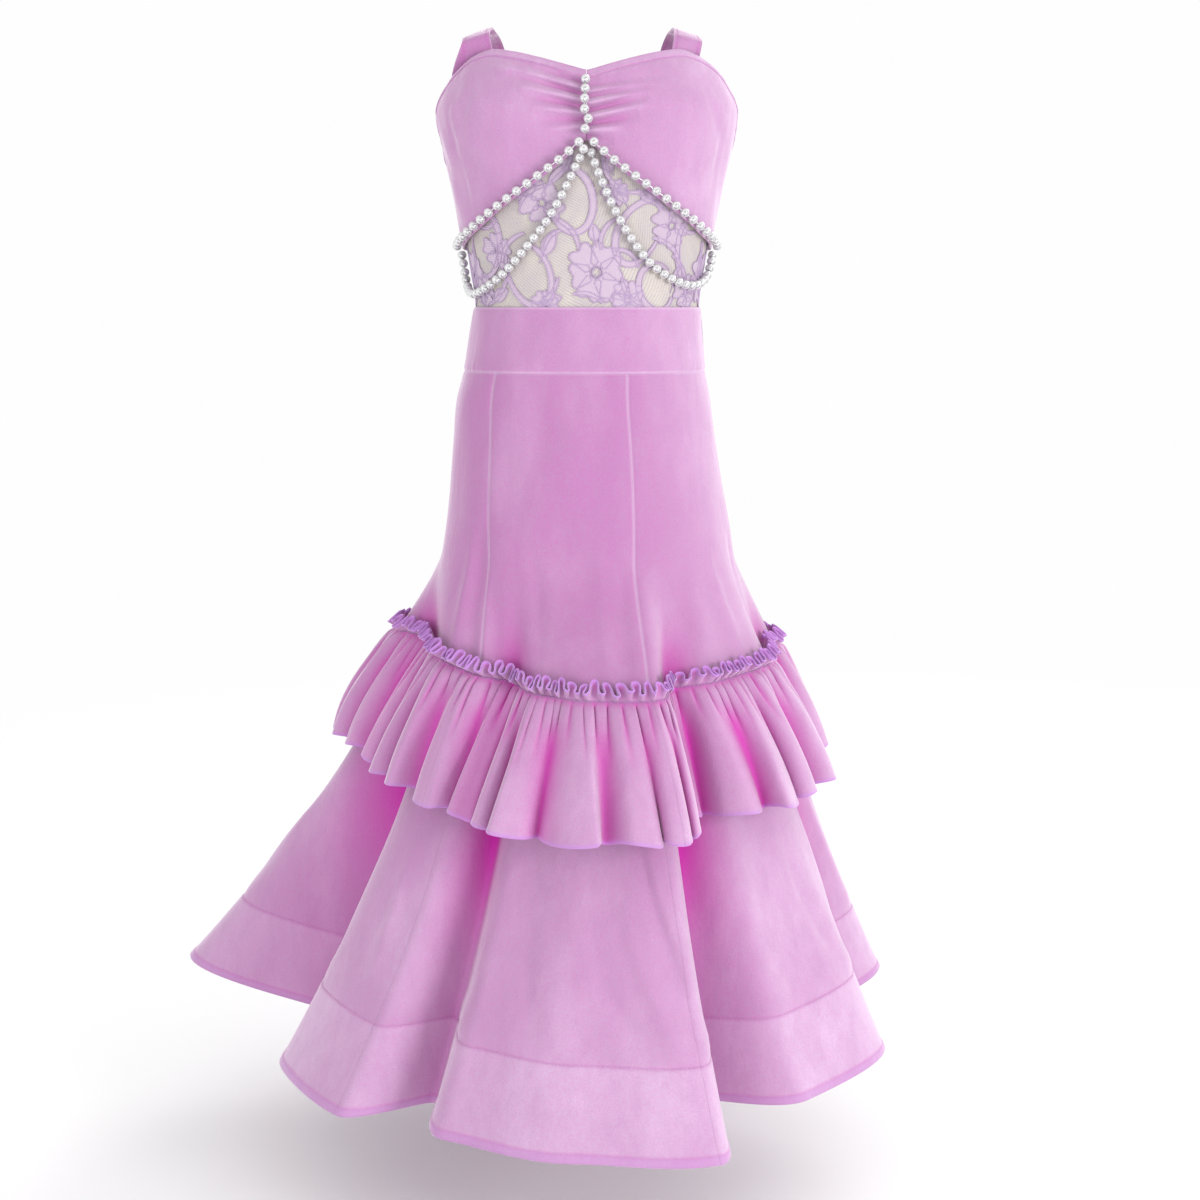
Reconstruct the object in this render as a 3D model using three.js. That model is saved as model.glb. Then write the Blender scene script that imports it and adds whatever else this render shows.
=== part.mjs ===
// A girl's ballroom dance dress, hollow and in the shape it takes when it is worn.
// Velvet bodice gathered at the centre front, lace midriff over a nude lining, deep waistband,
// six-gore flared skirt with a stiffened hem, one gathered frill with its heading, and strung pearls.
// Millimetres, +Z up. The front faces -Y and +X is the left side of the wearer's body.
// The origin lies midway between the two straps, level with their inner edges on the shoulders.
import * as THREE from "three";

// ---------------------------------------------------------------- driving dimensions
const SEAM_GAP = 0.3; // parting between two pieces that are sewn together
const VELVET = 1.2; // wall of the single velvet
const LINING = 1.0; // wall of the nude mesh lining
const LACE = 1.0; // wall of the corded lace
const LACE_GAP = 0.6; // parting between the lace and the lining under it
const EDGE = { width: 5, proud: 0.5, step: 0.6 }; // turned and topstitched edge of the bodice
const HEM = { band: 66, wall: 2.6, proud: 0.6, lip: 5, lipProud: 0.7 }; // velvet folded up over a stiff braid
const WAISTBAND = 1.5; // wall of the doubled velvet at the waist

const WAIST_TOP = -233; // top of the waistband
const WAIST_SEAM = -286; // waistband to skirt
const FLARE_START = -440; // the gores hang close to the body down to here
const HEM_LEVEL = -884; // lowest edge of the skirt
const LOWER_SKIRT = 340; // cloth from the frill's gathering line to the hem
const FLARE_POWER = 1.5; // how the flare opens between its start and the frill
const TRUMPET_POWER = 1.38; // how it opens from the frill to the hem

// tuck is sewn in behind the bodice's edge, and lean is how much closer the back ends stand.
const STRAP = { width: 23, wall: 1.5, tuck: 11, clear: 1.75, lean: 24, slope: 0.35 };
// The strap's outer face over the shoulder, from the back to the front. back is the share of the lean.
const STRAP_PATH = [
  { y: 60, z: -72, back: 0.85, slant: 0.2 },
  { y: 50, z: -36, back: 0.6, slant: 0.7 },
  { y: 28, z: -11, back: 0.3, slant: 1 },
  { y: 2, z: -4, back: 0.1, slant: 1 },
  { y: -23, z: -5.5, back: 0, slant: 1 },
  { y: -42, z: -13, back: 0, slant: 0.9 },
];
const STRAP_X = { right: -92, left: 84 }; // centre of each strap at the shoulder
const PEARL = { radius: 3.9, thread: 1.0, edgePitch: 10.9, stringPitch: 8.5, centrePitch: 8.1, sides: 6 };

// The clothed body: z, half width, depth in front of and behind the middle, and sideways shift.
const BODICE = [
  { z: -10, half: 98, front: 60, back: 58 },
  { z: -24, half: 106, front: 70, back: 64 },
  { z: -45, half: 120, front: 82, back: 72 },
  { z: -70, half: 128, front: 90, back: 77 },
  { z: -100, half: 123, front: 91, back: 78 },
  { z: -135, half: 115, front: 88, back: 77 },
  { z: -182, half: 107, front: 84, back: 73.6 },
];
const MIDRIFF = [
  { z: -80, half: 112, front: 82.4, back: 72 },
  { z: -105, half: 111.5, front: 82.4, back: 72 },
  { z: -140, half: 109.5, front: 81.6, back: 72 },
  { z: -175, half: 104, front: 80, back: 72 },
  { z: -205, half: 99, front: 79, back: 71.6 },
  { z: -228, half: 95.8, front: 78.6, back: 71.4 },
  { z: -245, half: 95.4, front: 78.4, back: 71.3 },
];
const HIPS = [
  { z: -233, half: 98.2, front: 80.8, back: 73.8, shift: 0 },
  { z: -286, half: 104.5, front: 87, back: 82, shift: -2.5 },
  { z: -312, half: 110, front: 90, back: 90, shift: -3.5 },
  { z: -347, half: 113.7, front: 94, back: 98, shift: -2 },
  { z: -382, half: 118.5, front: 98, back: 103, shift: -1 },
  { z: -440, half: 128, front: 104, back: 106, shift: 0 },
  { z: -560, half: 140, front: 112, back: 114, shift: 0 },
];
const SQUARENESS = 0.9; // below 1 the sections are fuller than an ellipse at their shoulders

// Edges of the bodice against the angle round the body: 0 is the centre front, 180 the centre back.
const TOP_EDGE = [
  { deg: 0, z: -42.5 },
  { deg: 8, z: -37 },
  { deg: 20, z: -30.5 },
  { deg: 33, z: -25.5 },
  { deg: 45, z: -23 },
  { deg: 56, z: -26.5 },
  { deg: 68, z: -39 },
  { deg: 79, z: -64 },
  { deg: 90, z: -96 },
  { deg: 100, z: -124 },
  { deg: 112, z: -131 },
  { deg: 145, z: -118 },
  { deg: 180, z: -113 },
];
const LOWER_EDGE = [
  { deg: 0, z: -98 },
  { deg: 8, z: -115 },
  { deg: 20, z: -132.5 },
  { deg: 35, z: -150 },
  { deg: 50, z: -164 },
  { deg: 65, z: -174.5 },
  { deg: 90, z: -183 },
  { deg: 180, z: -181 },
];
const SIDE_SEAM = 96; // degrees from the centre front
const SEAM_DEG = 0.12; // degrees kept clear on each side of a seam down the body
const CENTRE_DEPTH = 85; // depth of the body at its centre seams, for the parting there
const TUCKED = { up: 12, down: 9 }; // how far the midriff runs in behind the bodice and the waistband
const CUP = { height: 7, deg: 38, spread: 25, z: -82, tall: 34 };
// Gathers at the centre front: pull draws the seam in, reach and fan are degrees.
const GATHER = {
  height: 2.4,
  pull: 4.5,
  reach: 24,
  pitch: 11.5,
  fan: 26,
  centre: -74,
  crowding: 1.25,
};

// Skirt folds, once round from the centre back. Degrees and radii at the frill's gathering line,
// radius of the frill's own lower edge, degrees, radius and lift at the hem. seam marks a gore seam.
const FOLDS = [
  { waist: -180, line: -180, lineR: 138, frillR: 184, hem: -180, hemR: 215, lift: 6, crest: 0 },
  { waist: -158, line: -158, lineR: 166, frillR: 214, hem: -156, hemR: 298, lift: 14, crest: 1, seam: 1 },
  { waist: -138, line: -138, lineR: 146, frillR: 194, hem: -137, hemR: 226, lift: 26, crest: 0 },
  { waist: -120, line: -116, lineR: 163, frillR: 214, hem: -116, hemR: 366, lift: 52, crest: 1 },
  { waist: -105, line: -98, lineR: 168, frillR: 222, hem: -102, hemR: 384, lift: 45, crest: 1, seam: 1 },
  { waist: -80, line: -74, lineR: 136, frillR: 192, hem: -85, hemR: 228, lift: 20, crest: 0 },
  { waist: -60, line: -51, lineR: 146, frillR: 186, hem: -67, hemR: 284, lift: 5, crest: 1 },
  { waist: -49, line: -39, lineR: 142, frillR: 190, hem: -47, hemR: 281, lift: 0, crest: 1, seam: 1 },
  { waist: -36, line: -27, lineR: 128, frillR: 188, hem: -37, hemR: 210, lift: 0, crest: 0 },
  { waist: -18, line: -13, lineR: 150, frillR: 214, hem: -25, hemR: 264, lift: 0, crest: 1 },
  { waist: 2, line: 2, lineR: 164, frillR: 230, hem: -2, hemR: 282, lift: 0, crest: 1 },
  { waist: 23.7, line: 17, lineR: 176, frillR: 238, hem: 20, hemR: 302, lift: 0, crest: 1, seam: 1 },
  { waist: 36, line: 28, lineR: 142, frillR: 174, hem: 29, hemR: 192, lift: 2, crest: 0 },
  { waist: 52, line: 45, lineR: 156, frillR: 212, hem: 46, hemR: 256, lift: 8, crest: 1 },
  { waist: 70, line: 66, lineR: 164, frillR: 214, hem: 66, hemR: 276, lift: 18, crest: 1 },
  { waist: 86, line: 85, lineR: 150, frillR: 194, hem: 85, hemR: 216, lift: 26, crest: 0 },
  { waist: 104, line: 103, lineR: 172, frillR: 206, hem: 102, hemR: 277, lift: 42, crest: 1, seam: 1 },
  { waist: 128, line: 128, lineR: 146, frillR: 188, hem: 128, hemR: 214, lift: 26, crest: 0 },
  { waist: 152, line: 154, lineR: 166, frillR: 212, hem: 152, hemR: 296, lift: 12, crest: 1, seam: 1 },
];
const CREST_FULLNESS = 1.25; // above 1 a crest is broader than the valley beside it
const LINE_LEVEL = { front: -546, riseRight: 31, riseLeft: 15 }; // gathering line of the frill

// Waves of topWave at the gathering line grow to lowWave at the lower edge. spring bows the frill out.
const FRILL = {
  drop: 100,
  wall: 1.2,
  pitch: 27,
  topWave: 1.6,
  lowWave: 10,
  clear: 0.5,
  steepest: 2.5,
  spring: 0.85,
};
const HEADING = { height: 16, wave: 3, lean: 1 };

// Gores and frill strips, each from one seam fold to the next.
const GORES = ["back", "back_right", "side_right", "front", "side_left", "back_left"];

// Pearls down the centre front. One of them was sewn on out of line.
const CENTRE_PEARLS = [
  { x: -0.7, z: -50.5 },
  { x: -1, z: -58.6 },
  { x: -1.5, z: -66.4 },
  { x: -1.5, z: -74.2 },
  { x: 1.5, z: -82 },
  { x: -1.2, z: -90 },
];
// Pearl swags: x, how far the string stands off the lace, and z, from the centre front to the side.
// The right one starts with the pearl that hangs before the point of the bodice.
const SWAG_RIGHT = [
  { x: -2.2, off: 11.6, z: -106 },
  { x: -8.5, off: 4.8, z: -118.5 },
  { x: -19.7, off: 4.6, z: -141.6 },
  { x: -33, off: 4.6, z: -164.3 },
  { x: -49.4, off: 4.6, z: -185 },
  { x: -66, off: 4.6, z: -203.9 },
  { x: -80, off: 4.6, z: -215.3 },
  { x: -90.5, off: 4.8, z: -221 },
  { x: -95.5, off: 5.2, z: -219 },
  { x: -98.2, off: 6.2, z: -210 },
  { x: -99.6, off: 6, z: -200 },
  { x: -101.8, off: 6, z: -188 },
];
const SWAG_LEFT = [
  { x: 3.8, off: 4.8, z: -108.2 },
  { x: 8.8, off: 4.6, z: -122.2 },
  { x: 21.8, off: 4.6, z: -152.2 },
  { x: 38, off: 4.6, z: -180.2 },
  { x: 52, off: 4.6, z: -197.5 },
  { x: 70, off: 4.6, z: -210 },
  { x: 83, off: 4.7, z: -214.2 },
  { x: 92, off: 5, z: -212 },
  { x: 97.3, off: 5.5, z: -205.5 },
  { x: 100, off: 6, z: -196 },
  { x: 101.8, off: 6, z: -188 },
];

// ---------------------------------------------------------------- small mathematics
const DEG = Math.PI / 180;
const mix = (a, b, t) => a + (b - a) * t;
const clamp01 = (t) => Math.min(1, Math.max(0, t));
const bell = (t) => Math.exp(-t * t);

// Smooth reading of one column of a table whose rows rise or fall steadily in the key column.
function read(rows, key, column, at) {
  const sign = Math.sign(rows[1][key] - rows[0][key]);
  const last = rows.length - 1;
  const slope = (i) =>
    (rows[i + 1][column] - rows[i][column]) / (rows[i + 1][key] - rows[i][key]);
  const tangent = (i) => {
    if (i === 0) return slope(0);
    if (i === last) return slope(last - 1);
    const before = slope(i - 1);
    const after = slope(i);
    return before * after <= 0 ? 0 : (2 * before * after) / (before + after);
  };
  if ((at - rows[0][key]) * sign <= 0) return rows[0][column];
  if ((at - rows[last][key]) * sign >= 0) return rows[last][column];
  let i = 0;
  while ((at - rows[i + 1][key]) * sign > 0) i++;
  const span = rows[i + 1][key] - rows[i][key];
  const t = (at - rows[i][key]) / span;
  return (
    (1 + 2 * t) * (1 - t) ** 2 * rows[i][column] +
    t * (1 - t) ** 2 * span * tangent(i) +
    t * t * (3 - 2 * t) * rows[i + 1][column] +
    t * t * (t - 1) * span * tangent(i + 1)
  );
}

// Degrees that leave half a seam gap where a section of this half size meets its own axis.
const parting = (size) => (SEAM_GAP / 2 / size) ** (1 / SQUARENESS) / DEG;

// A point of a body section: x, y and the level direction out of the cloth.
function section(table, deg, z) {
  const half = read(table, "z", "half", z);
  const depth = read(table, "z", Math.abs(deg) <= 90 ? "front" : "back", z);
  const s = Math.sin(deg * DEG);
  const c = Math.cos(deg * DEG);
  const x = half * Math.sign(s) * Math.abs(s) ** SQUARENESS;
  const y = -depth * Math.sign(c) * Math.abs(c) ** SQUARENESS;
  const out = new THREE.Vector3(s / half, -c / depth, 0).normalize();
  return { at: new THREE.Vector3(x, y, z), out };
}

// ---------------------------------------------------------------- walls of cloth
// A closed wall over a grid: outer(u, v, i, j) gives { at, wall } and, where a neighbour has to meet
// the same edge, out. Elsewhere out is the normal of the grid, and the inner face lies wall behind it.
// Both faces are split along the same diagonal, so that a twisted wall keeps its thickness.
function sheet(columns, rows, outer) {
  const grid = [];
  for (let j = 0; j <= rows; j++)
    for (let i = 0; i <= columns; i++) grid.push(outer(i / columns, j / rows, i, j));
  const place = (i, j) => grid[j * (columns + 1) + i].at;
  const normal = (i, j) => {
    const across = place(Math.min(i + 1, columns), j).clone().sub(place(Math.max(i - 1, 0), j));
    const down = place(i, Math.min(j + 1, rows)).clone().sub(place(i, Math.max(j - 1, 0)));
    return down.cross(across).normalize();
  };
  const points = [];
  const index = [];
  const id = (i, j, side) => 2 * (j * (columns + 1) + i) + side;
  for (let j = 0; j <= rows; j++)
    for (let i = 0; i <= columns; i++) {
      const p = grid[j * (columns + 1) + i];
      points.push(...p.at.toArray());
      points.push(...p.at.clone().addScaledVector(p.out ?? normal(i, j), -p.wall).toArray());
    }
  const quad = (a, b, c, d) => index.push(a, b, c, a, c, d);
  for (let j = 0; j < rows; j++)
    for (let i = 0; i < columns; i++) {
      quad(id(i, j, 0), id(i, j + 1, 0), id(i + 1, j + 1, 0), id(i + 1, j, 0));
      quad(id(i, j, 1), id(i + 1, j, 1), id(i + 1, j + 1, 1), id(i, j + 1, 1));
    }
  for (let i = 0; i < columns; i++) {
    quad(id(i, 0, 0), id(i + 1, 0, 0), id(i + 1, 0, 1), id(i, 0, 1));
    quad(id(i, rows, 1), id(i + 1, rows, 1), id(i + 1, rows, 0), id(i, rows, 0));
  }
  for (let j = 0; j < rows; j++) {
    quad(id(0, j, 1), id(0, j + 1, 1), id(0, j + 1, 0), id(0, j, 0));
    quad(id(columns, j, 0), id(columns, j + 1, 0), id(columns, j + 1, 1), id(columns, j, 1));
  }
  return new THREE.BufferGeometry()
    .setAttribute("position", new THREE.Float32BufferAttribute(points, 3))
    .setIndex(index);
}

// ---------------------------------------------------------------- bodice
// Outer face of the velvet: the body section, two soft cups, and gathers that fan out from the centre.
// Where onCrest is set, the face touches the gathers' crests, as what is sewn on top of them does.
function bodiceFace(deg, z, onCrest = false) {
  const p = section(BODICE, deg, z);
  const away = Math.abs(deg);
  const cup = CUP.height * bell((away - CUP.deg) / CUP.spread) * bell((z - CUP.z) / CUP.tall);
  const near = bell(away / GATHER.reach) * (away < 90 ? 1 : 0);
  const fanned = (z - GATHER.centre) / (1 + away / GATHER.fan);
  const wave = onCrest ? 1 : Math.cos((2 * Math.PI * fanned) / GATHER.pitch + (deg < 0 ? 0.9 : 0));
  p.at.addScaledVector(p.out, cup + near * (GATHER.height * wave - GATHER.pull));
  return p;
}

// One bodice panel. angle(u) gives the degrees round the body, rising with u.
// The top edge is turned over and stands a little proud.
function bodicePanel(columns, rows, angle) {
  return sheet(columns, rows, (u, v, i, j) => {
    const deg = angle(u);
    const top = read(TOP_EDGE, "deg", "z", Math.abs(deg));
    const bottom = read(LOWER_EDGE, "deg", "z", Math.abs(deg));
    const inEdge = j <= 1;
    const below = (j - 2) / (rows - 2);
    const z = inEdge ? top - j * EDGE.width : mix(top - EDGE.width - EDGE.step, bottom, below);
    const p = bodiceFace(deg, z);
    const proud = inEdge ? EDGE.proud : 0;
    p.at.addScaledVector(p.out, proud);
    return { ...p, wall: VELVET + proud };
  });
}

// A front panel has its columns crowded towards the gathers at the centre.
const frontAngle = (side) => (u) => {
  const away = (side > 0 ? u : 1 - u) ** GATHER.crowding;
  return side * mix(parting(CENTRE_DEPTH), SIDE_SEAM - SEAM_DEG, away);
};
const backAngle = (u) => {
  const around = mix(SIDE_SEAM + SEAM_DEG, 360 - SIDE_SEAM - SEAM_DEG, u);
  return around > 180 ? around - 360 : around;
};

// ---------------------------------------------------------------- midriff
// Half of the midriff, front or back, from inside the bodice down to inside the waistband.
function midriffPanel(middle, inset, wall, columns, rows) {
  const half = 90 - parting(MIDRIFF[0].back);
  return sheet(columns, rows, (u, v) => {
    const around = middle + mix(-half, half, u);
    const deg = around > 180 ? around - 360 : around;
    const top = read(LOWER_EDGE, "deg", "z", Math.abs(deg)) + TUCKED.up;
    const p = section(MIDRIFF, deg, mix(top, WAIST_TOP - TUCKED.down, v));
    p.at.addScaledVector(p.out, -inset);
    return { ...p, wall };
  });
}

// ---------------------------------------------------------------- skirt
const LAST = FOLDS.length;
const fold = (k) => FOLDS[((k % LAST) + LAST) % LAST];
const turns = (k) => 360 * Math.floor(k / LAST);

// Place of the point u folds round, from the centre back, on a row between two table columns.
function foldAngle(u, a, b, t) {
  const k = Math.floor(u);
  const f = u - k;
  const low = mix(fold(k)[a], fold(k)[b], t) + turns(k);
  const high = mix(fold(k + 1)[a], fold(k + 1)[b], t) + turns(k + 1);
  return mix(low, high, f);
}

// One column read round the skirt, with broad crests and narrow valleys.
function foldValue(u, column) {
  const k = Math.floor(u);
  const f = u - k;
  const a = fold(k);
  const b = fold(k + 1);
  let t = 0.5 - 0.5 * Math.cos(Math.PI * f);
  if (a.crest > b.crest) t = 0.5 - 0.5 * Math.cos(Math.PI * f ** CREST_FULLNESS);
  if (a.crest < b.crest) t = 0.5 + 0.5 * Math.cos(Math.PI * (1 - f) ** CREST_FULLNESS);
  return mix(a[column], b[column], t);
}

const lineLevel = (deg) => {
  const aside = Math.sin(deg * DEG);
  return LINE_LEVEL.front + (aside < 0 ? LINE_LEVEL.riseRight : LINE_LEVEL.riseLeft) * aside ** 2;
};

// A point at an angle and radius from the body's own axis.
function polar(deg, radius, z) {
  const out = new THREE.Vector3(Math.sin(deg * DEG), -Math.cos(deg * DEG), 0);
  return { at: out.clone().multiplyScalar(radius).setZ(z), out };
}

// Radius of the hip section at an angle, by stepping along its own parameter.
function hipRadius(deg, z) {
  const turned = ((((deg + 180) % 360) + 360) % 360) - 180;
  const half = read(HIPS, "z", "half", z);
  const depth = read(HIPS, "z", Math.abs(turned) <= 90 ? "front" : "back", z);
  const s = Math.abs(Math.sin(turned * DEG)) / half;
  const c = Math.abs(Math.cos(turned * DEG)) / depth;
  const power = 2 / SQUARENESS;
  return 1 / (s ** power + c ** power) ** (1 / power);
}

// Smooth outer face of the skirt. level runs 0 to 1 from the waist seam to the gathering line,
// then to 2 at the hem.
function skirtFace(u, level) {
  const upper = Math.min(level, 1);
  const lower = Math.max(level - 1, 0);
  const deg = level <= 1 ? foldAngle(u, "waist", "line", upper ** 2) : foldAngle(u, "line", "hem", lower);
  const line = lineLevel(deg);
  const hem = HEM_LEVEL + foldValue(u, "lift");
  const z = level <= 1 ? mix(WAIST_SEAM - SEAM_GAP, line, upper) : mix(line, hem, lower);
  const flare = clamp01((FLARE_START - z) / (FLARE_START - line)) ** FLARE_POWER;
  const radius =
    level <= 1
      ? mix(hipRadius(deg, z), foldValue(u, "lineR"), flare)
      : mix(foldValue(u, "lineR"), foldValue(u, "hemR"), lower ** TRUMPET_POWER);
  const p = polar(deg, radius, z);
  p.at.x += read(HIPS, "z", "shift", z);
  return p;
}

// True normal of that face, the same from either side of a seam.
function skirtNormal(u, level) {
  const step = 0.02;
  const across = skirtFace(u + step, level).at.sub(skirtFace(u - step, level).at);
  const down = skirtFace(u, Math.min(2, level + step)).at.sub(skirtFace(u, Math.max(0, level - step)).at);
  return down.cross(across).normalize();
}

// Rows of the skirt grid: level of each, its wall, and how far the outer face stands proud.
const BAND = HEM.band / LOWER_SKIRT; // share of the lower skirt that the hem band takes
const LIP = HEM.lip / LOWER_SKIRT;
const STEP_DOWN = 0.01; // levels over which the wall steps up to the band
const SKIRT_ROWS = [
  { level: 0, wall: VELVET, proud: 0 },
  { level: 0.13, wall: VELVET, proud: 0 },
  { level: 0.32, wall: VELVET, proud: 0 },
  { level: 0.52, wall: VELVET, proud: 0 },
  { level: 0.68, wall: VELVET, proud: 0 },
  { level: 0.84, wall: VELVET, proud: 0 },
  { level: 1, wall: VELVET, proud: 0 },
  { level: 1.3, wall: VELVET, proud: 0 },
  { level: 1.56, wall: VELVET, proud: 0 },
  { level: 2 - BAND - STEP_DOWN, wall: VELVET, proud: 0 },
  { level: 2 - BAND, wall: HEM.wall, proud: HEM.proud },
  { level: 2 - LIP, wall: HEM.wall, proud: HEM.proud },
  { level: 2 - LIP + STEP_DOWN / 5, wall: HEM.wall + HEM.lipProud, proud: HEM.proud + HEM.lipProud },
  { level: 2, wall: HEM.wall + HEM.lipProud, proud: HEM.proud + HEM.lipProud },
];
const COLUMNS_PER_FOLD = 4;

const seamFolds = FOLDS.map((f, k) => (f.seam ? k : -1)).filter((k) => k >= 0);
// The gore from seam n - 1 to seam n, as a range of u.
function goreRange(n) {
  const from = seamFolds[(n + seamFolds.length - 1) % seamFolds.length];
  const to = seamFolds[n % seamFolds.length];
  return from > to ? [from - LAST, to] : [from, to];
}

function gore(n) {
  const [from, to] = goreRange(n);
  const columns = (to - from) * COLUMNS_PER_FOLD;
  return sheet(columns, SKIRT_ROWS.length - 1, (f, v, i, j) => {
    const u = mix(from, to, f);
    const row = SKIRT_ROWS[j];
    const out = skirtNormal(u, row.level);
    const at = skirtFace(u, row.level).at.addScaledVector(out, row.proud);
    const back = i === 0 ? 1 : i === columns ? -1 : 0;
    return { at: at.addScaledVector(levelAlong(out), back * SEAM_STEP), out, wall: row.wall };
  });
}

// The level direction along the cloth, and the step that each side takes back from a seam.
const levelAlong = (out) => new THREE.Vector3(-out.y, out.x, 0).normalize();
const SEAM_STEP = SEAM_GAP / 2 + 0.03;

// The outer face as the solids have it, flat between their columns and rows.
function onSkirt(u, level) {
  const column = Math.floor(u * COLUMNS_PER_FOLD);
  const f = u * COLUMNS_PER_FOLD - column;
  let j = 0;
  while (j < SKIRT_ROWS.length - 2 && SKIRT_ROWS[j + 1].level < level) j++;
  const [upper, lower] = [SKIRT_ROWS[j].level, SKIRT_ROWS[j + 1].level];
  const corner = (c, row) => skirtFace((column + c) / COLUMNS_PER_FOLD, row).at;
  const top = corner(0, upper).lerp(corner(1, upper), f);
  const bottom = corner(0, lower).lerp(corner(1, lower), f);
  return top.lerp(bottom, (level - upper) / (lower - upper));
}

// ---------------------------------------------------------------- frill
const RULER_STEPS = 60; // for each fold

// Running length of the gathering line, so that its waves are evenly spaced.
function waveRuler(from, to) {
  const steps = RULER_STEPS * (to - from);
  const lengths = [0];
  let last = onSkirt(from, 1);
  for (let s = 1; s <= steps; s++) {
    const next = onSkirt(mix(from, to, s / steps), 1);
    lengths.push(lengths[s - 1] + next.distanceTo(last));
    last = next;
  }
  const total = lengths[steps];
  const at = (share) => {
    let s = 0;
    while (s < steps - 1 && lengths[s + 1] < share * total) s++;
    const f = (share * total - lengths[s]) / (lengths[s + 1] - lengths[s]);
    return mix(from, to, (s + clamp01(f)) / steps);
  };
  return { total, at };
}

const COLUMNS_PER_WAVE = 4; // a crest, a valley and the two slopes between them
const FRILL_ROWS = [-1, -0.5, 0, 0.28, 0.62, 1]; // -1 is the top of the heading, 0 the gathering line

const NEARBY = 0.04; // folds to each side over which the skirt's slope is taken

// A strip of the frill over one gore, held off the skirt by its own folds.
function frillStrip(n) {
  const [from, to] = goreRange(n);
  const ruler = waveRuler(from, to);
  const waves = Math.round(ruler.total / FRILL.pitch);
  const columns = waves * COLUMNS_PER_WAVE;
  return sheet(columns, FRILL_ROWS.length - 1, (f, v, i, j) => {
    const down = Math.max(FRILL_ROWS[j], 0);
    const up = Math.max(-FRILL_ROWS[j], 0);
    const u = ruler.at(f);
    const level = 1 + (down * FRILL.drop - up * HEADING.height) / LOWER_SKIRT;
    const skirt = onSkirt(u, level);
    const run = onSkirt(u + NEARBY, level).sub(onSkirt(u - NEARBY, level));
    const out = skirt.clone().setZ(0).normalize();
    const steep = run.length() / Math.hypot(run.x * out.y, run.y * out.x, 1e-6);
    const swing = mix(FRILL.topWave, FRILL.lowWave, down);
    const wave = up > 0 ? HEADING.wave * up * Math.cos(Math.PI * i) : swing * Math.sin((Math.PI / 2) * i);
    const room = up > 0 ? HEADING.wave * up + HEADING.lean * up : swing;
    const clear = (FRILL.wall + SEAM_GAP + FRILL.clear) * Math.min(steep, FRILL.steepest) + room;
    const hang = Math.max(0, foldValue(u, "frillR") - FRILL.lowWave - skirt.clone().setZ(0).length());
    const at = skirt.addScaledVector(out, clear + hang * down ** FRILL.spring + wave);
    const back = i === 0 ? 1 : i === columns ? -1 : 0;
    at.addScaledVector(levelAlong(out), back * SEAM_STEP);
    return { at, wall: FRILL.wall, out: back === 0 ? undefined : out };
  });
}

// ---------------------------------------------------------------- waistband
function waistband(from, to, columns) {
  return sheet(columns, 2, (u, v) => {
    const deg = mix(from, to, u);
    const p = section(HIPS, deg > 180 ? deg - 360 : deg, mix(WAIST_TOP, WAIST_SEAM, v));
    p.at.x += read(HIPS, "z", "shift", p.at.z);
    return { ...p, wall: WAISTBAND };
  });
}

// ---------------------------------------------------------------- straps
const FRONT_HALF = [0.1, 89]; // degrees to search for the front edge, where the side distance rises
const BACK_HALF = [179.9, 97]; // the same at the back
const SEWN_IN = 1; // the strap passes the edge this far below it

// Degrees round the body at which a face stands at a given distance to the side.
function degAt(face, x, z, low, high) {
  let [a, b] = [low, high];
  for (let n = 0; n < 40; n++) {
    const middle = (a + b) / 2;
    const inside = (face(middle, z).at.x - x) * (face(high, z).at.x - face(low, z).at.x) < 0;
    if (inside) a = middle;
    else b = middle;
  }
  return (a + b) / 2;
}

// Where a strap's outer face lies behind the bodice at a side distance, drop below the bodice's edge.
function behindBodice(x, drop, [low, high]) {
  const side = Math.sign(x);
  let z = BODICE[3].z;
  let deg = low;
  for (let n = 0; n < 8; n++) {
    deg = degAt(bodiceFace, Math.abs(x), z, low, high);
    z = read(TOP_EDGE, "deg", "z", deg) - drop;
  }
  const p = bodiceFace(deg, z);
  p.at.addScaledVector(p.out, -(VELVET + SEAM_GAP + STRAP.clear));
  return new THREE.Vector3(side * p.at.x, p.at.y, z);
}

// One strap: up from behind the back edge, over the shoulder, and down behind the front edge.
function strap(x) {
  const side = Math.sign(x);
  const rows = 16;
  const columns = 3;
  const backX = x - side * STRAP.lean;
  const paths = [];
  for (let i = 0; i <= columns; i++) {
    const aside = (i / columns - 0.5) * STRAP.width;
    const fall = side * aside * STRAP.slope;
    const over = STRAP_PATH.map(
      (p) => new THREE.Vector3(x - side * STRAP.lean * p.back + aside, p.y, p.z - p.slant * fall),
    );
    const points = [
      behindBodice(backX + aside, STRAP.tuck, BACK_HALF),
      behindBodice(backX + aside, SEWN_IN, BACK_HALF),
      ...over,
      behindBodice(x + aside, SEWN_IN, FRONT_HALF),
      behindBodice(x + aside, STRAP.tuck, FRONT_HALF),
    ];
    paths.push(new THREE.CatmullRomCurve3(points, false, "centripetal"));
  }
  return sheet(columns, rows, (u, v, i) => ({ at: paths[i].getPoint(v), wall: STRAP.wall }));
}

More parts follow.
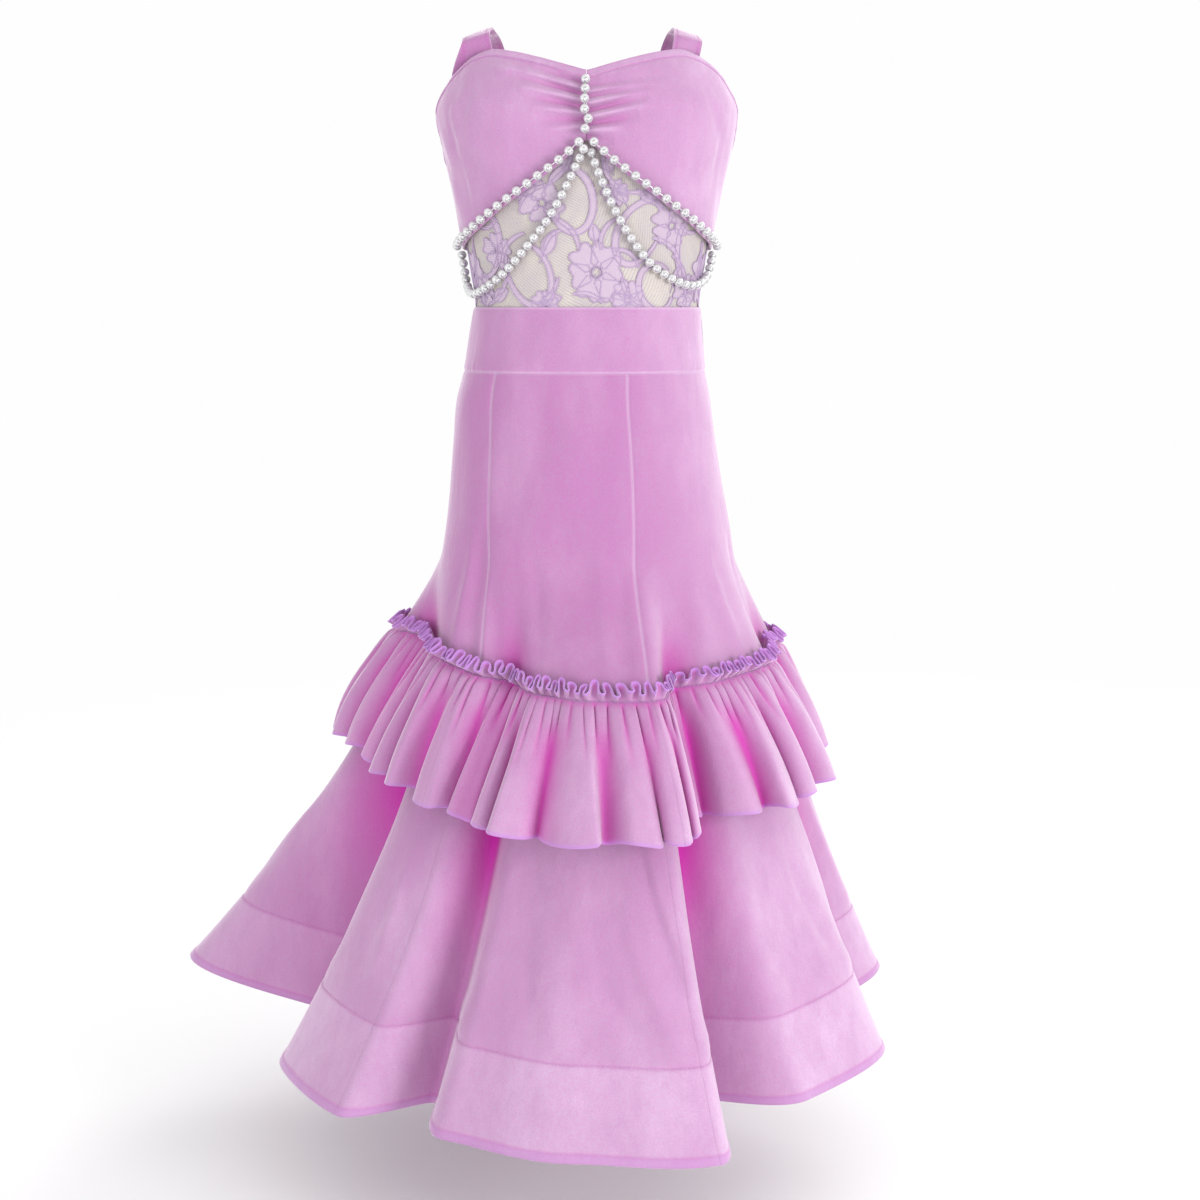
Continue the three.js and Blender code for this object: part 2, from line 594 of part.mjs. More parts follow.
// ---------------------------------------------------------------- pearls
// Pearls strung on a path: one closed tube that swells to each pearl and narrows to the thread.
function pearlString(points, pitch) {
  const curve = new THREE.CatmullRomCurve3(points, false, "centripetal");
  const count = Math.max(2, Math.round(curve.getLength() / pitch) + 1);
  const rings = [];
  const share = PEARL.radius / (curve.getLength() / (count - 1));
  for (let n = 0; n < count; n++) {
    const middle = n / (count - 1);
    const step = 1 / (count - 1);
    if (n > 0) rings.push({ t: middle - step / 2, r: PEARL.thread, pull: 0 });
    rings.push({ t: middle, r: PEARL.radius, pull: share });
  }
  const sides = PEARL.sides;
  const position = [];
  const index = [];
  const frameAt = (t) => {
    const way = curve.getTangentAt(clamp01(t));
    const across = new THREE.Vector3(0, 1, 0).cross(way).normalize();
    return { way, across, up: way.clone().cross(across) };
  };
  const start = curve.getPointAt(0).addScaledVector(frameAt(0).way, -PEARL.radius);
  const end = curve.getPointAt(1).addScaledVector(frameAt(1).way, PEARL.radius);
  position.push(...start.toArray());
  for (const ring of rings) {
    const centre = curve.getPointAt(clamp01(ring.t));
    const f = frameAt(ring.t);
    for (let s = 0; s < sides; s++) {
      const a = (2 * Math.PI * (s + 0.5)) / sides;
      const p = centre.clone();
      p.addScaledVector(f.across, ring.r * Math.cos(a)).addScaledVector(f.up, ring.r * Math.sin(a));
      position.push(...p.toArray());
    }
  }
  position.push(...end.toArray());
  const id = (ring, s) => 1 + ring * sides + (s % sides);
  const tail = 1 + rings.length * sides;
  for (let s = 0; s < sides; s++) {
    index.push(0, id(0, s + 1), id(0, s));
    index.push(tail, id(rings.length - 1, s), id(rings.length - 1, s + 1));
    for (let r = 0; r + 1 < rings.length; r++) {
      index.push(id(r, s), id(r, s + 1), id(r + 1, s + 1));
      index.push(id(r, s), id(r + 1, s + 1), id(r + 1, s));
    }
  }
  return new THREE.BufferGeometry()
    .setAttribute("position", new THREE.Float32BufferAttribute(position, 3))
    .setIndex(index);
}

const PEARL_OFF = PEARL.radius + SEAM_GAP + 0.45; // pearl centre to the velvet
const SUNK = 0.4; // how far the centre row sinks between the gathers' crests

function centrePearls() {
  const points = CENTRE_PEARLS.map(({ x, z }) => {
    const crest = bodiceFace(0, z, true).at.y;
    return new THREE.Vector3(x, crest - PEARL_OFF + SUNK, z);
  });
  return pearlString(points, PEARL.centrePitch);
}

function edgePearls(side) {
  const stops = [2, 8, 14, 21, 28, 35, 42, 50, 58, 67, 77, 86];
  const points = stops.map((deg) => {
    const z = read(LOWER_EDGE, "deg", "z", deg) + 2;
    const p = bodiceFace(side * deg, z, true);
    return p.at.addScaledVector(p.out, PEARL_OFF);
  });
  return pearlString(points, PEARL.edgePitch);
}

function swagPearls(rows) {
  const points = rows.map((row) => {
    const half = read(MIDRIFF, "z", "half", row.z);
    const share = Math.min(1, Math.abs(row.x) / half) ** (1 / SQUARENESS);
    const deg = (Math.asin(share) / DEG) * Math.sign(row.x);
    const p = section(MIDRIFF, deg, row.z);
    return p.at.addScaledVector(p.out, row.off);
  });
  return pearlString(points, PEARL.stringPitch);
}

// ---------------------------------------------------------------- the dress
const velvet = () => new THREE.MeshStandardMaterial({ color: 0xd49ad8, roughness: 0.85, metalness: 0 });
const laceCloth = () => new THREE.MeshStandardMaterial({ color: 0xcdb4cf, roughness: 0.8, metalness: 0 });
const nudeMesh = () => new THREE.MeshStandardMaterial({ color: 0xcfc3b2, roughness: 0.8, metalness: 0 });
const pearl = () => new THREE.MeshStandardMaterial({ color: 0xe9efeb, roughness: 0.2, metalness: 0.1 });

const dress = new THREE.Group();
function add(name, geometry, material) {
  const mesh = new THREE.Mesh(geometry, material);
  mesh.name = name;
  dress.add(mesh);
}

add("bodice_front_right", bodicePanel(13, 17, frontAngle(-1)), velvet());
add("bodice_front_left", bodicePanel(13, 17, frontAngle(1)), velvet());
add("bodice_back", bodicePanel(16, 5, backAngle), velvet());
for (const [side, middle] of [["front", 0], ["back", 180]]) {
  add(`midriff_lining_${side}`, midriffPanel(middle, LACE + LACE_GAP, LINING, 10, 4), nudeMesh());
  add(`midriff_lace_${side}`, midriffPanel(middle, 0, LACE, 10, 4), laceCloth());
}
add("waistband_front", waistband(-90 + SEAM_DEG, 90 - SEAM_DEG, 16), velvet());
add("waistband_back", waistband(90 + SEAM_DEG, 270 - SEAM_DEG, 16), velvet());
GORES.forEach((name, n) => add(`skirt_${name}`, gore(n), velvet()));
GORES.forEach((name, n) => add(`frill_${name}`, frillStrip(n), velvet()));
add("strap_right", strap(STRAP_X.right), velvet());
add("strap_left", strap(STRAP_X.left), velvet());
add("pearls_centre", centrePearls(), pearl());
add("pearls_edge_right", edgePearls(-1), pearl());
add("pearls_edge_left", edgePearls(1), pearl());
add("pearls_swag_right", swagPearls(SWAG_RIGHT), pearl());
add("pearls_swag_left", swagPearls(SWAG_LEFT), pearl());

export default dress;
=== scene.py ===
"""A girl's ballroom dance dress: lilac velvet bodice gathered at the centre front, lace midriff over a nude
lining, deep waistband, six-gore flared skirt with a stiff hem, one gathered frill, and strung pearls.

Every piece is a surface worked out on a grid. Sizes are millimetres until a mesh is made, angles are
degrees round the body from the centre front, rising to the wearer's left, and z is height.
"""
import math

import bpy
import numpy as np
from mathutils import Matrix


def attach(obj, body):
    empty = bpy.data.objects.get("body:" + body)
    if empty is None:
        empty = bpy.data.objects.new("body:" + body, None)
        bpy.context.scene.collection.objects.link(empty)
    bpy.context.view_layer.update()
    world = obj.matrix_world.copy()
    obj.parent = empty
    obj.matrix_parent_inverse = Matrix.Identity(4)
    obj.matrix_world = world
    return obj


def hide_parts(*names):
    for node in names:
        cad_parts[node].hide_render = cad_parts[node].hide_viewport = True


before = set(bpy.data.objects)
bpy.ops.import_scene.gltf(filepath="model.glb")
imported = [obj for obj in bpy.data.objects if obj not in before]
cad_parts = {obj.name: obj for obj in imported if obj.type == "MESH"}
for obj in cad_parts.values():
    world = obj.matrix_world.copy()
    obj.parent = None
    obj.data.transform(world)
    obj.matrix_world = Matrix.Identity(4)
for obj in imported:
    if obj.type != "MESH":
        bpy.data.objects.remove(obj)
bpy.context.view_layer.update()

MM = 0.001
RAD = math.pi / 180


# ---------------------------------------------------------------- camera, floor and light
CAMERA = {"place": (0.011, -1.664, -0.234), "down": 8.7, "lens": 57, "sensor": 36, "reach": 60}


def look(place, down, lens, sensor, reach):
    """The camera in front of the dress, tilted down by some degrees."""
    data = bpy.data.cameras.new("camera")
    data.lens = lens
    data.sensor_width = sensor
    data.clip_end = reach
    camera = bpy.data.objects.new("camera", data)
    camera.location = place
    camera.rotation_euler = ((90 - down) * RAD, 0, 0)
    bpy.context.scene.collection.objects.link(camera)
    bpy.context.scene.camera = camera


look(**CAMERA)

FLOOR_LEVEL = -1.0  # where the wearer's feet would stand
KEY = {"place": (2.1, -2.0, 0.0), "size": 1.1, "watts": 49, "colour": (1.0, 0.99, 0.985)}
FILL = {"place": (-2.3, -2.0, -0.8), "size": 2.0, "watts": 21, "colour": (0.97, 0.98, 1.0)}
LOW = {"place": (-0.5, -2.7, -0.95), "size": 1.4, "watts": 15, "colour": (1.0, 0.99, 1.0)}
BACK = {"place": (1.6, 2.0, 1.3), "size": 1.8, "watts": 34, "colour": (1.0, 1.0, 1.0)}
WORLD = 0.99
LAMPS_FACE = np.array([0.0, 0.0, -0.45])


def soft_lamp(name, place, size, watts, colour):
    """A square soft box that faces the middle of the dress."""
    data = bpy.data.lights.new(name, "AREA")
    data.size = size
    data.energy = watts
    data.color = colour
    lamp = bpy.data.objects.new(name, data)
    lamp.location = place
    way = LAMPS_FACE - np.array(place)
    turn = math.atan2(way[0], -way[1])
    fall = math.atan2(math.hypot(way[0], way[1]), -way[2])
    lamp.rotation_euler = (fall, 0, turn + math.pi)
    bpy.context.scene.collection.objects.link(lamp)


for lamp_name, lamp in (("key", KEY), ("fill", FILL), ("low", LOW), ("back", BACK)):
    soft_lamp(lamp_name, **lamp)

world = bpy.data.worlds.new("studio")
world.use_nodes = True
world.node_tree.nodes["Background"].inputs["Color"].default_value = (1, 1, 1, 1)
world.node_tree.nodes["Background"].inputs["Strength"].default_value = WORLD
bpy.context.scene.world = world
bpy.context.scene.view_settings.view_transform = "Standard"

# ---------------------------------------------------------------- sizes of the dress
SEAM_GAP = 0.3
SEAM_STEP = 0.08  # that each side of a gore seam stands back from it
VELVET = 1.2
LACE_SINK = 1.6  # lining's outer face behind the lace's
WAIST_TOP, WAIST_SEAM = -233.0, -286.0
FLARE_START, HEM_LEVEL = -440.0, -884.0
FLARE_POWER, TRUMPET_POWER = 1.5, 1.38
LOWER_SKIRT = 340.0  # cloth from the frill's gathering line to the hem
SIDE_SEAM, SEAM_DEG, CENTRE_DEG = 96.0, 0.12, 0.055
SQUARENESS = 0.9


def table(columns, *rows):
    """A table with named columns, one row for each section, edge point or fold."""
    return dict(zip(columns.split(), np.array(rows, float).T))


BODICE = table(
    "z half front back",
    (-10, 98, 60, 58),
    (-24, 106, 70, 64),
    (-45, 120, 82, 72),
    (-70, 128, 90, 77),
    (-100, 123, 91, 78),
    (-135, 115, 88, 77),
    (-182, 107, 84, 73.6),
)
MIDRIFF = table(
    "z half front back",
    (-80, 112, 82.4, 72),
    (-105, 111.5, 82.4, 72),
    (-140, 109.5, 81.6, 72),
    (-175, 104, 80, 72),
    (-205, 99, 79, 71.6),
    (-228, 95.8, 78.6, 71.4),
    (-245, 95.4, 78.4, 71.3),
)
HIPS = table(
    "z half front back shift",
    (-233, 98.2, 80.8, 73.8, 0),
    (-286, 104.5, 87, 82, -2.5),
    (-312, 110, 90, 90, -3.5),
    (-347, 113.7, 94, 98, -2),
    (-382, 118.5, 98, 103, -1),
    (-440, 128, 104, 106, 0),
    (-560, 140, 112, 114, 0),
)
TOP_EDGE = table(
    "deg z",
    (0, -42.5),
    (8, -37),
    (20, -30.5),
    (33, -25.5),
    (45, -23),
    (56, -26.5),
    (68, -39),
    (79, -64),
    (90, -96),
    (100, -124),
    (112, -131),
    (145, -118),
    (180, -113),
)
LOWER_EDGE = table(
    "deg z",
    (0, -98),
    (8, -115),
    (20, -132.5),
    (35, -150),
    (50, -164),
    (65, -174.5),
    (90, -183),
    (180, -181),
)
# Skirt folds once round from the centre back: degrees and radii at the waist, the frill's gathering
# line, the frill's own lower edge and the hem, and how far the hem lifts there.
FOLDS = table(
    "waist line lineR frillR hem hemR lift crest seam",
    (-180, -180, 138, 184, -180, 215, 6, 0, 0),
    (-158, -158, 166, 214, -156, 298, 14, 1, 1),
    (-138, -138, 146, 194, -137, 226, 26, 0, 0),
    (-120, -116, 163, 214, -116, 366, 52, 1, 0),
    (-105, -98, 168, 222, -102, 384, 45, 1, 1),
    (-80, -74, 136, 192, -85, 228, 20, 0, 0),
    (-60, -51, 146, 186, -67, 284, 5, 1, 0),
    (-49, -39, 142, 190, -47, 281, 0, 1, 1),
    (-36, -27, 128, 188, -37, 210, 0, 0, 0),
    (-18, -13, 150, 214, -25, 264, 0, 1, 0),
    (2, 2, 164, 230, -2, 282, 0, 1, 0),
    (23.7, 17, 176, 238, 20, 302, 0, 1, 1),
    (36, 28, 142, 174, 29, 192, 2, 0, 0),
    (52, 45, 156, 212, 46, 256, 8, 1, 0),
    (70, 66, 164, 214, 66, 276, 18, 1, 0),
    (86, 85, 150, 194, 85, 216, 26, 0, 0),
    (104, 103, 172, 206, 102, 277, 42, 1, 1),
    (128, 128, 146, 188, 128, 214, 26, 0, 0),
    (152, 154, 166, 212, 152, 296, 12, 1, 1),
)
FOLD_COUNT = len(FOLDS["hem"])
CREST_FULLNESS = 1.25
LINE_LEVEL = {"front": -546.0, "right": 31.0, "left": 15.0}
GORES = ["back", "back_right", "side_right", "front", "side_left", "back_left"]


# ---------------------------------------------------------------- small mathematics
def rows_of(rows):
    """Each row of a table as a dict."""
    for values in zip(*rows.values()):
        yield dict(zip(rows, map(float, values)))


def mix(a, b, t):
    return a + (b - a) * t


def bell(t):
    return np.exp(-t * t)


def ease(low, high, x):
    """0 below low, 1 above high, smooth between."""
    t = np.clip((x - low) / (high - low), 0, 1)
    return t * t * (3 - 2 * t)


def grown(values, *factors):
    """Values times each factor in turn, each time to a tenth of a millimetre."""
    for factor in factors:
        values = np.array([round(float(value) * factor, 1) for value in values])
    return values


def unit(v):
    return v / np.maximum(np.linalg.norm(v, axis=-1, keepdims=True), 1e-9)


def read(rows, key, column, at):
    """Smooth reading of one column: cubic pieces whose slope at a row is the harmonic mean of its sides."""
    x, y = rows[key], rows[column]
    if x[0] > x[-1]:
        x, y = x[::-1], y[::-1]
    slope = np.diff(y) / np.diff(x)
    before, after = slope[:-1], slope[1:]
    same = before * after > 0
    middle = np.where(same, 2 * before * after / np.where(same, before + after, 1), 0)
    tangent = np.concatenate([slope[:1], middle, slope[-1:]])
    at = np.clip(at, x[0], x[-1])
    i = np.clip(np.searchsorted(x, at) - 1, 0, len(x) - 2)
    span = x[i + 1] - x[i]
    t = (at - x[i]) / span
    ends = (1 + 2 * t) * (1 - t) ** 2 * y[i] + t * t * (3 - 2 * t) * y[i + 1]
    return ends + t * (1 - t) * span * ((1 - t) * tangent[i] - t * tangent[i + 1])


def section(rows, deg, z):
    """Points of a squared ellipse round the body, and the level direction out of the cloth."""
    deg, z = np.broadcast_arrays(np.asarray(deg, float), np.asarray(z, float))
    half = read(rows, "z", "half", z)
    s, c = np.sin(deg * RAD), np.cos(deg * RAD)
    depth = np.where(c >= 0, read(rows, "z", "front", z), read(rows, "z", "back", z))
    x = half * np.sign(s) * np.abs(s) ** SQUARENESS
    y = -depth * np.sign(c) * np.abs(c) ** SQUARENESS
    out = unit(np.stack([s / half, -c / depth, np.zeros_like(z)], -1))
    return np.stack([x, y, z], -1), out


def side_degrees(rows, x, z, behind=False):
    """Degrees round the body at which a section stands x to the side."""
    share = np.clip(np.abs(x) / read(rows, "z", "half", z), 0, 1) ** (1 / SQUARENESS)
    deg = np.degrees(np.arcsin(share))
    return np.sign(x) * (180 - deg if behind else deg)


def smooth_path(points, count):
    """A centripetal spline through points, read at count even steps of its own parameter."""
    points = np.asarray(points, float)
    ends = (2 * points[:1] - points[1:2], 2 * points[-1:] - points[-2:-1])
    p = np.concatenate([ends[0], points, ends[1]])
    steps = np.linspace(0, len(points) - 1, count)
    i = np.minimum(steps.astype(int), len(points) - 2)
    t = (steps - i)[:, None]
    p0, p1, p2, p3 = p[i], p[i + 1], p[i + 2], p[i + 3]
    d0, d1, d2 = (np.maximum(np.linalg.norm(b - a, axis=1, keepdims=True) ** 0.5, 1e-4)
                  for a, b in ((p0, p1), (p1, p2), (p2, p3)))
    m1 = ((p1 - p0) / d0 - (p2 - p0) / (d0 + d1) + (p2 - p1) / d1) * d1
    m2 = ((p2 - p1) / d1 - (p3 - p1) / (d1 + d2) + (p3 - p2) / d2) * d1
    return ((1 + 2 * t) * (1 - t) ** 2 * p1 + t * (1 - t) ** 2 * m1
            + t * t * (3 - 2 * t) * p2 + t * t * (t - 1) * m2)


def path_run(path):
    """Running length at each point of a path."""
    return np.concatenate([[0], np.cumsum(np.linalg.norm(np.diff(path, axis=0), axis=1))])


def even_path(points, pitch=None, count=None):
    """The same spline cut into even lengths, with its tangents."""
    fine = smooth_path(points, 40 * len(points))
    run = path_run(fine)
    count = count or max(2, round(run[-1] / pitch) + 1)
    at = np.linspace(0, run[-1], count)
    path = np.stack([np.interp(at, run, fine[:, a]) for a in range(3)], -1)
    return path, unit(np.gradient(path, axis=0))


# ---------------------------------------------------------------- meshes
def make(name, points, quads, triangles, uv=None, smooth_below=50, **attributes):
    """A mesh object at the origin from points in millimetres and arrays of faces."""
    quads = np.asarray(quads, np.int32).reshape(-1, 4)
    triangles = np.asarray(triangles, np.int32).reshape(-1, 3)
    loops = np.concatenate([quads.ravel(), triangles.ravel()])
    starts = np.concatenate([4 * np.arange(len(quads)), 4 * len(quads) + 3 * np.arange(len(triangles))])
    mesh = bpy.data.meshes.new(name)
    mesh.vertices.add(len(points))
    mesh.vertices.foreach_set("co", (np.asarray(points) * MM).astype(np.float32).ravel())
    mesh.loops.add(len(loops))
    mesh.loops.foreach_set("vertex_index", loops.astype(np.int32))
    mesh.polygons.add(len(starts))
    mesh.polygons.foreach_set("loop_start", starts.astype(np.int32))
    mesh.update(calc_edges=True)
    if uv is not None:
        layer = mesh.uv_layers.new(name="cloth")
        layer.data.foreach_set("uv", (np.asarray(uv) * MM)[loops].astype(np.float32).ravel())
    for key, values in attributes.items():
        column = mesh.attributes.new(key, "FLOAT", "POINT")
        column.data.foreach_set("value", np.asarray(values, np.float32).ravel())
    mesh.polygons.foreach_set("use_smooth", np.ones(len(starts), bool))
    mesh.set_sharp_from_angle(angle=smooth_below * RAD)
    mesh.validate()
    piece = bpy.data.objects.new(name, mesh)
    bpy.context.scene.collection.objects.link(piece)
    return piece


def grid_normals(grid):
    """Unit normals of a grid whose rows run down and whose columns run towards the wearer's left."""
    return unit(np.cross(np.gradient(grid, axis=0), np.gradient(grid, axis=1)))


def lengths(grid, axis):
    """Running length along one axis of a grid."""
    steps = np.linalg.norm(np.diff(grid, axis=axis), axis=-1)
    pad = [(1, 0), (0, 0)] if axis == 0 else [(0, 0), (1, 0)]
    return np.cumsum(np.pad(steps, pad), axis=axis)


def grid_area(grid):
    across = np.diff(grid[:-1], axis=1)
    down = np.diff(grid[:, :-1], axis=0)
    return np.linalg.norm(np.cross(across, down), axis=-1).sum()


# Painted sheen: the cloth is made paler where it faces the wearer's left, the side that the key light comes
# from.
PAINTED_SIDE_SHEEN = {"share": 0.34, "from": 0.05, "to": 0.95}


def shell(name, grid, wall, normals, pale_tone_and_painted_sheen=0.0, **attributes):
    """Closed wall of cloth: the grid, a rounded edge below, the grid moved wall inwards along its normals,
    and a rounded edge above, as one ring of rows whose two sides are closed by ladders."""
    rows, columns = grid.shape[:2]
    # The paler tone given, plus painted sheen where the cloth faces the wearer's left.
    attributes["pale_tone_and_painted_sheen"] = pale_tone_and_painted_sheen + PAINTED_SIDE_SHEEN["share"] * ease(PAINTED_SIDE_SHEEN["from"], PAINTED_SIDE_SHEEN["to"], normals[..., 0])
    wall = np.broadcast_to(np.asarray(wall, float), (rows, columns))[..., None]
    inner = grid - normals * wall
    low = (grid[-1] + inner[-1]) / 2 + unit(grid[-1] - grid[-2]) * wall[-1] / 2
    high = (grid[0] + inner[0]) / 2 + unit(grid[0] - grid[1]) * wall[0] / 2

    def ring(outer_rows, inner_rows):
        low_edge, high_edge = (outer_rows[-1:] + inner_rows[-1:]) / 2, (outer_rows[:1] + inner_rows[:1]) / 2
        return np.concatenate([outer_rows, low_edge, inner_rows[::-1], high_edge])

    points = ring(grid, inner)
    points[rows], points[-1] = low, high
    count = 2 * rows + 2
    at = np.arange(count * columns).reshape(count, columns)
    around = np.roll(at, -1, axis=0)
    quads = [np.stack([at[:, :-1], around[:, :-1], around[:, 1:], at[:, 1:]], -1).reshape(-1, 4)]
    triangles = []
    outer_id, inner_id = at[:rows], at[rows + 1 : 2 * rows + 1][::-1]
    for side, column in ((1, 0), (-1, columns - 1)):
        a, b = outer_id[:, column], inner_id[:, column]
        ladder = np.stack([a[1:], a[:-1], b[:-1], b[1:]], -1)
        tips = np.array([[a[-1], b[-1], at[rows, column]], [b[0], a[0], at[-1, column]]])
        quads.append(ladder[:, ::side])
        triangles.append(tips[:, ::side])
    uv = np.stack([lengths(grid, 1), lengths(grid, 0)], -1)
    extra = {}
    for key, values in attributes.items():
        values = np.broadcast_to(np.asarray(values, float), (rows, columns))
        extra[key] = ring(values, values)
    quads, triangles = np.concatenate(quads), np.concatenate(triangles)
    return make(name, points.reshape(-1, 3), quads, triangles, ring(uv, uv).reshape(-1, 2), **extra)


def rings_mesh(rings):
    """Points and faces of rings of points, (pieces, steps, sides, 3). Each tube is closed by a point at
    each end."""
    pieces, steps, sides = rings.shape[:3]
    ends = rings[:, [0, -1]].mean(axis=2)
    block = steps * sides + 2
    points = np.concatenate([rings.reshape(pieces, -1, 3), ends], axis=1)
    at = np.arange(steps * sides).reshape(steps, sides)
    turned = np.roll(at, -1, axis=1)
    quads = np.stack([at[:-1], turned[:-1], turned[1:], at[1:]], -1).reshape(-1, 4)
    first = np.stack([np.full(sides, block - 2), turned[0], at[0]], -1)
    last = np.stack([np.full(sides, block - 1), at[-1], turned[-1]], -1)
    triangles = np.concatenate([first, last])
    shift = block * np.arange(pieces)[:, None, None]
    return points.reshape(-1, 3), (quads + shift).reshape(-1, 4), (triangles + shift).reshape(-1, 3)


def across_frames(way, up):
    """Two directions across a path: one in the cloth and one off it."""
    side = unit(np.cross(way, up))
    return side, unit(np.cross(side, way))


def circles(side, off, count):
    """Unit circles in the planes of two directions, with a new axis of count points before the last."""
    turn = 2 * np.pi * np.arange(count)[:, None] / count
    return side[..., None, :] * np.cos(turn) + off[..., None, :] * np.sin(turn)


def tube(path, up, radius, sides=6):
    """A round cord along a path."""
    side, off = across_frames(unit(np.gradient(path, axis=0)), up)
    return rings_mesh((path[:, None] + radius * circles(side, off, sides))[None])


def join(parts):
    """Several (points, quads, triangles) as one."""
    counts = np.cumsum([0] + [len(p[0]) for p in parts])
    points = np.concatenate([p[0] for p in parts])
    quads = np.concatenate([p[1] + n for p, n in zip(parts, counts)])
    triangles = np.concatenate([p[2] + n for p, n in zip(parts, counts)])
    return points, quads, triangles


# A stitch: the share of the pitch that it covers, and the lift and size of its rings for a thread of
# radius 1.
STITCH = {"share": 0.72, "dip": np.array([-0.9, 0.25, 0.5, 0.25, -0.9]),
          "swell": np.array([0.45, 0.9, 1, 0.9, 0.45]), "sides": 6}


def stitches(path, up, pitch, radius):
    """Sewing thread along a path: each stitch is a small capsule that dips into the cloth at both ends."""
    run = path_run(path)
    count = max(1, int(run[-1] / pitch))
    start = (np.arange(count) + 0.5 - STITCH["share"] / 2) * run[-1] / count
    along = start[:, None] + np.linspace(0, 1, len(STITCH["dip"])) * STITCH["share"] * run[-1] / count
    place = np.stack([np.interp(along, run, path[:, a]) for a in range(3)], -1)
    lift = unit(np.stack([np.interp(along, run, up[:, a]) for a in range(3)], -1))
    way = unit(place[:, -1:] - place[:, :1]) + 0 * place
    centre = place + lift * (STITCH["dip"] * radius)[None, :, None]
    ring = circles(*across_frames(way, lift), STITCH["sides"])
    return rings_mesh(centre[:, :, None] + (STITCH["swell"] * radius)[None, :, None, None] * ring)


def crease(grid, route, width, height):
    """A soft ridge, or a trough where height is below 0: a bell of the distance to a route on the cloth,
    fading towards both ends of the route."""
    route = np.asarray(route, float)
    away = np.linalg.norm(grid[:, :, None] - route[None, None], axis=-1)
    near = away.argmin(axis=-1)
    along = near / (len(route) - 1)
    spread = width * (0.75 + 0.5 * along)
    return height * bell(away.min(axis=-1) / spread) * np.sin(np.pi * np.clip(along, 0.06, 0.94)) ** 0.5


def gather(grid, route, width, height):
    """A ridge or trough drawn in at a seam: sharp and full where its route starts, then broader and lower
    until it dies out."""
    away = np.linalg.norm(grid[:, :, None] - route[None, None], axis=-1)
    along = away.argmin(axis=-1) / (len(route) - 1)
    return height * bell(away.min(axis=-1) / (width * (0.75 + 1.1 * along))) * (1 - along) ** 0.5


LEVEL = 1e9  # length down of a wave that runs only across


def ripples(x, y, *waves):
    """A sum of long waves. Each wave is its length across, its length down, its phase and its height."""
    total = 0
    for across, down, phase, height in waves:
        total = total + height * np.sin(2 * np.pi * (x / across + y / down) + phase)
    return total


# ---------------------------------------------------------------- materials
class Finish:
    """A principled material under way. What is the same all over is set on its own sockets, and what
    varies is linked into them."""

    def __init__(self, name, **same):
        self.made = bpy.data.materials.new(name)
        self.made.use_nodes = True
        self.tree = self.made.node_tree
        self.shader = self.tree.nodes["Principled BSDF"]
        self.set(**same)

    def set(self, **sockets):
        """Sets or links sockets of the shader, and gives the material."""
        for key, value in sockets.items():
            self.feed(self.shader.inputs[key.replace("_", " ")], value)
        return self.made

    def feed(self, socket, value):
        if isinstance(value, bpy.types.NodeSocket):
            self.tree.links.new(value, socket)
        else:
            socket.default_value = (*value, 1) if socket.type == "RGBA" else value

    def add(self, kind, inputs, **settings):
        node = self.tree.nodes.new(kind)
        for key, value in settings.items():
            setattr(node, key, value)
        for key, value in inputs.items():
            self.feed(node.inputs[key], value)
        return node

    def place(self, kind="Object"):
        return self.add("ShaderNodeTexCoord", {}).outputs[kind]

    def attribute(self, name):
        return self.add("ShaderNodeAttribute", {}, attribute_name=name).outputs["Fac"]

    def math(self, operation, a, b=0.0, clamp=False):
        return self.add("ShaderNodeMath", {0: a, 1: b}, operation=operation, use_clamp=clamp).outputs[0]

    def times(self, a, b):
        return self.math("MULTIPLY", a, b)

    def rest(self, value):
        return self.math("SUBTRACT", 1.0, value)

    def blend(self, share, a, b):
        return self.add("ShaderNodeMix", {0: share, 6: a, 7: b}, data_type="RGBA").outputs[2]

    def noise(self, place, scale, detail=2.0, roughness=0.5):
        inputs = {"Vector": place, "Scale": scale, "Detail": detail, "Roughness": roughness}
        return self.add("ShaderNodeTexNoise", inputs).outputs[0]

    def ramp(self, value, low, high):
        """0 to 1 as value passes from low to high."""
        inputs = {"Value": value, "From Min": low, "From Max": high}
        return self.add("ShaderNodeMapRange", inputs, interpolation_type="SMOOTHSTEP").outputs[0]

    def bump(self, height, strength, distance, **below):
        inputs = {"Height": height, "Strength": strength, "Distance": distance, **below}
        return self.add("ShaderNodeBump", inputs).outputs[0]


LILAC = (0.364, 0.180, 0.345)
PALE = (0.56, 0.43, 0.58)
GREYED = (0.35, 0.22, 0.36)
MAGENTA = (0.50, 0.008, 0.33)
# The colour that each attribute of the velvet blends in: painted shade inside folds and creases, painted
# shade on the hem's rolled lip, which faces down, a paler line along seams that is partly a painted
# highlight, and violet thread over cut edges.
VELVET_MARKS = {"valley": MAGENTA, "lip": (0.42, 0.19, 0.44), "seam": (0.66, 0.50, 0.67),
                "overlock": (0.43, 0.20, 0.54)}
PILE = {"stretch": (1.0, 1.0, 0.42), "clouds": 0.26, "streaks": 0.28, "bare": 0.26, "sheen": 0.9,
        "shine": 0.22}
NET_COLOURS = {"thread": (0.34, 0.28, 0.37), "ground": ((0.55, 0.51, 0.44), (0.49, 0.45, 0.42))}
NET_PITCH, NET_SLANT = 0.0019, 0.62
SATIN = ((0.44, 0.33, 0.45), (0.58, 0.48, 0.58))
NUDE = ((0.52, 0.45, 0.37), (0.66, 0.59, 0.50))
PEARLY = ((0.57, 0.57, 0.59), (0.78, 0.78, 0.77))
PAINTED_REFLECTION_GREY = (0.17, 0.16, 0.19)


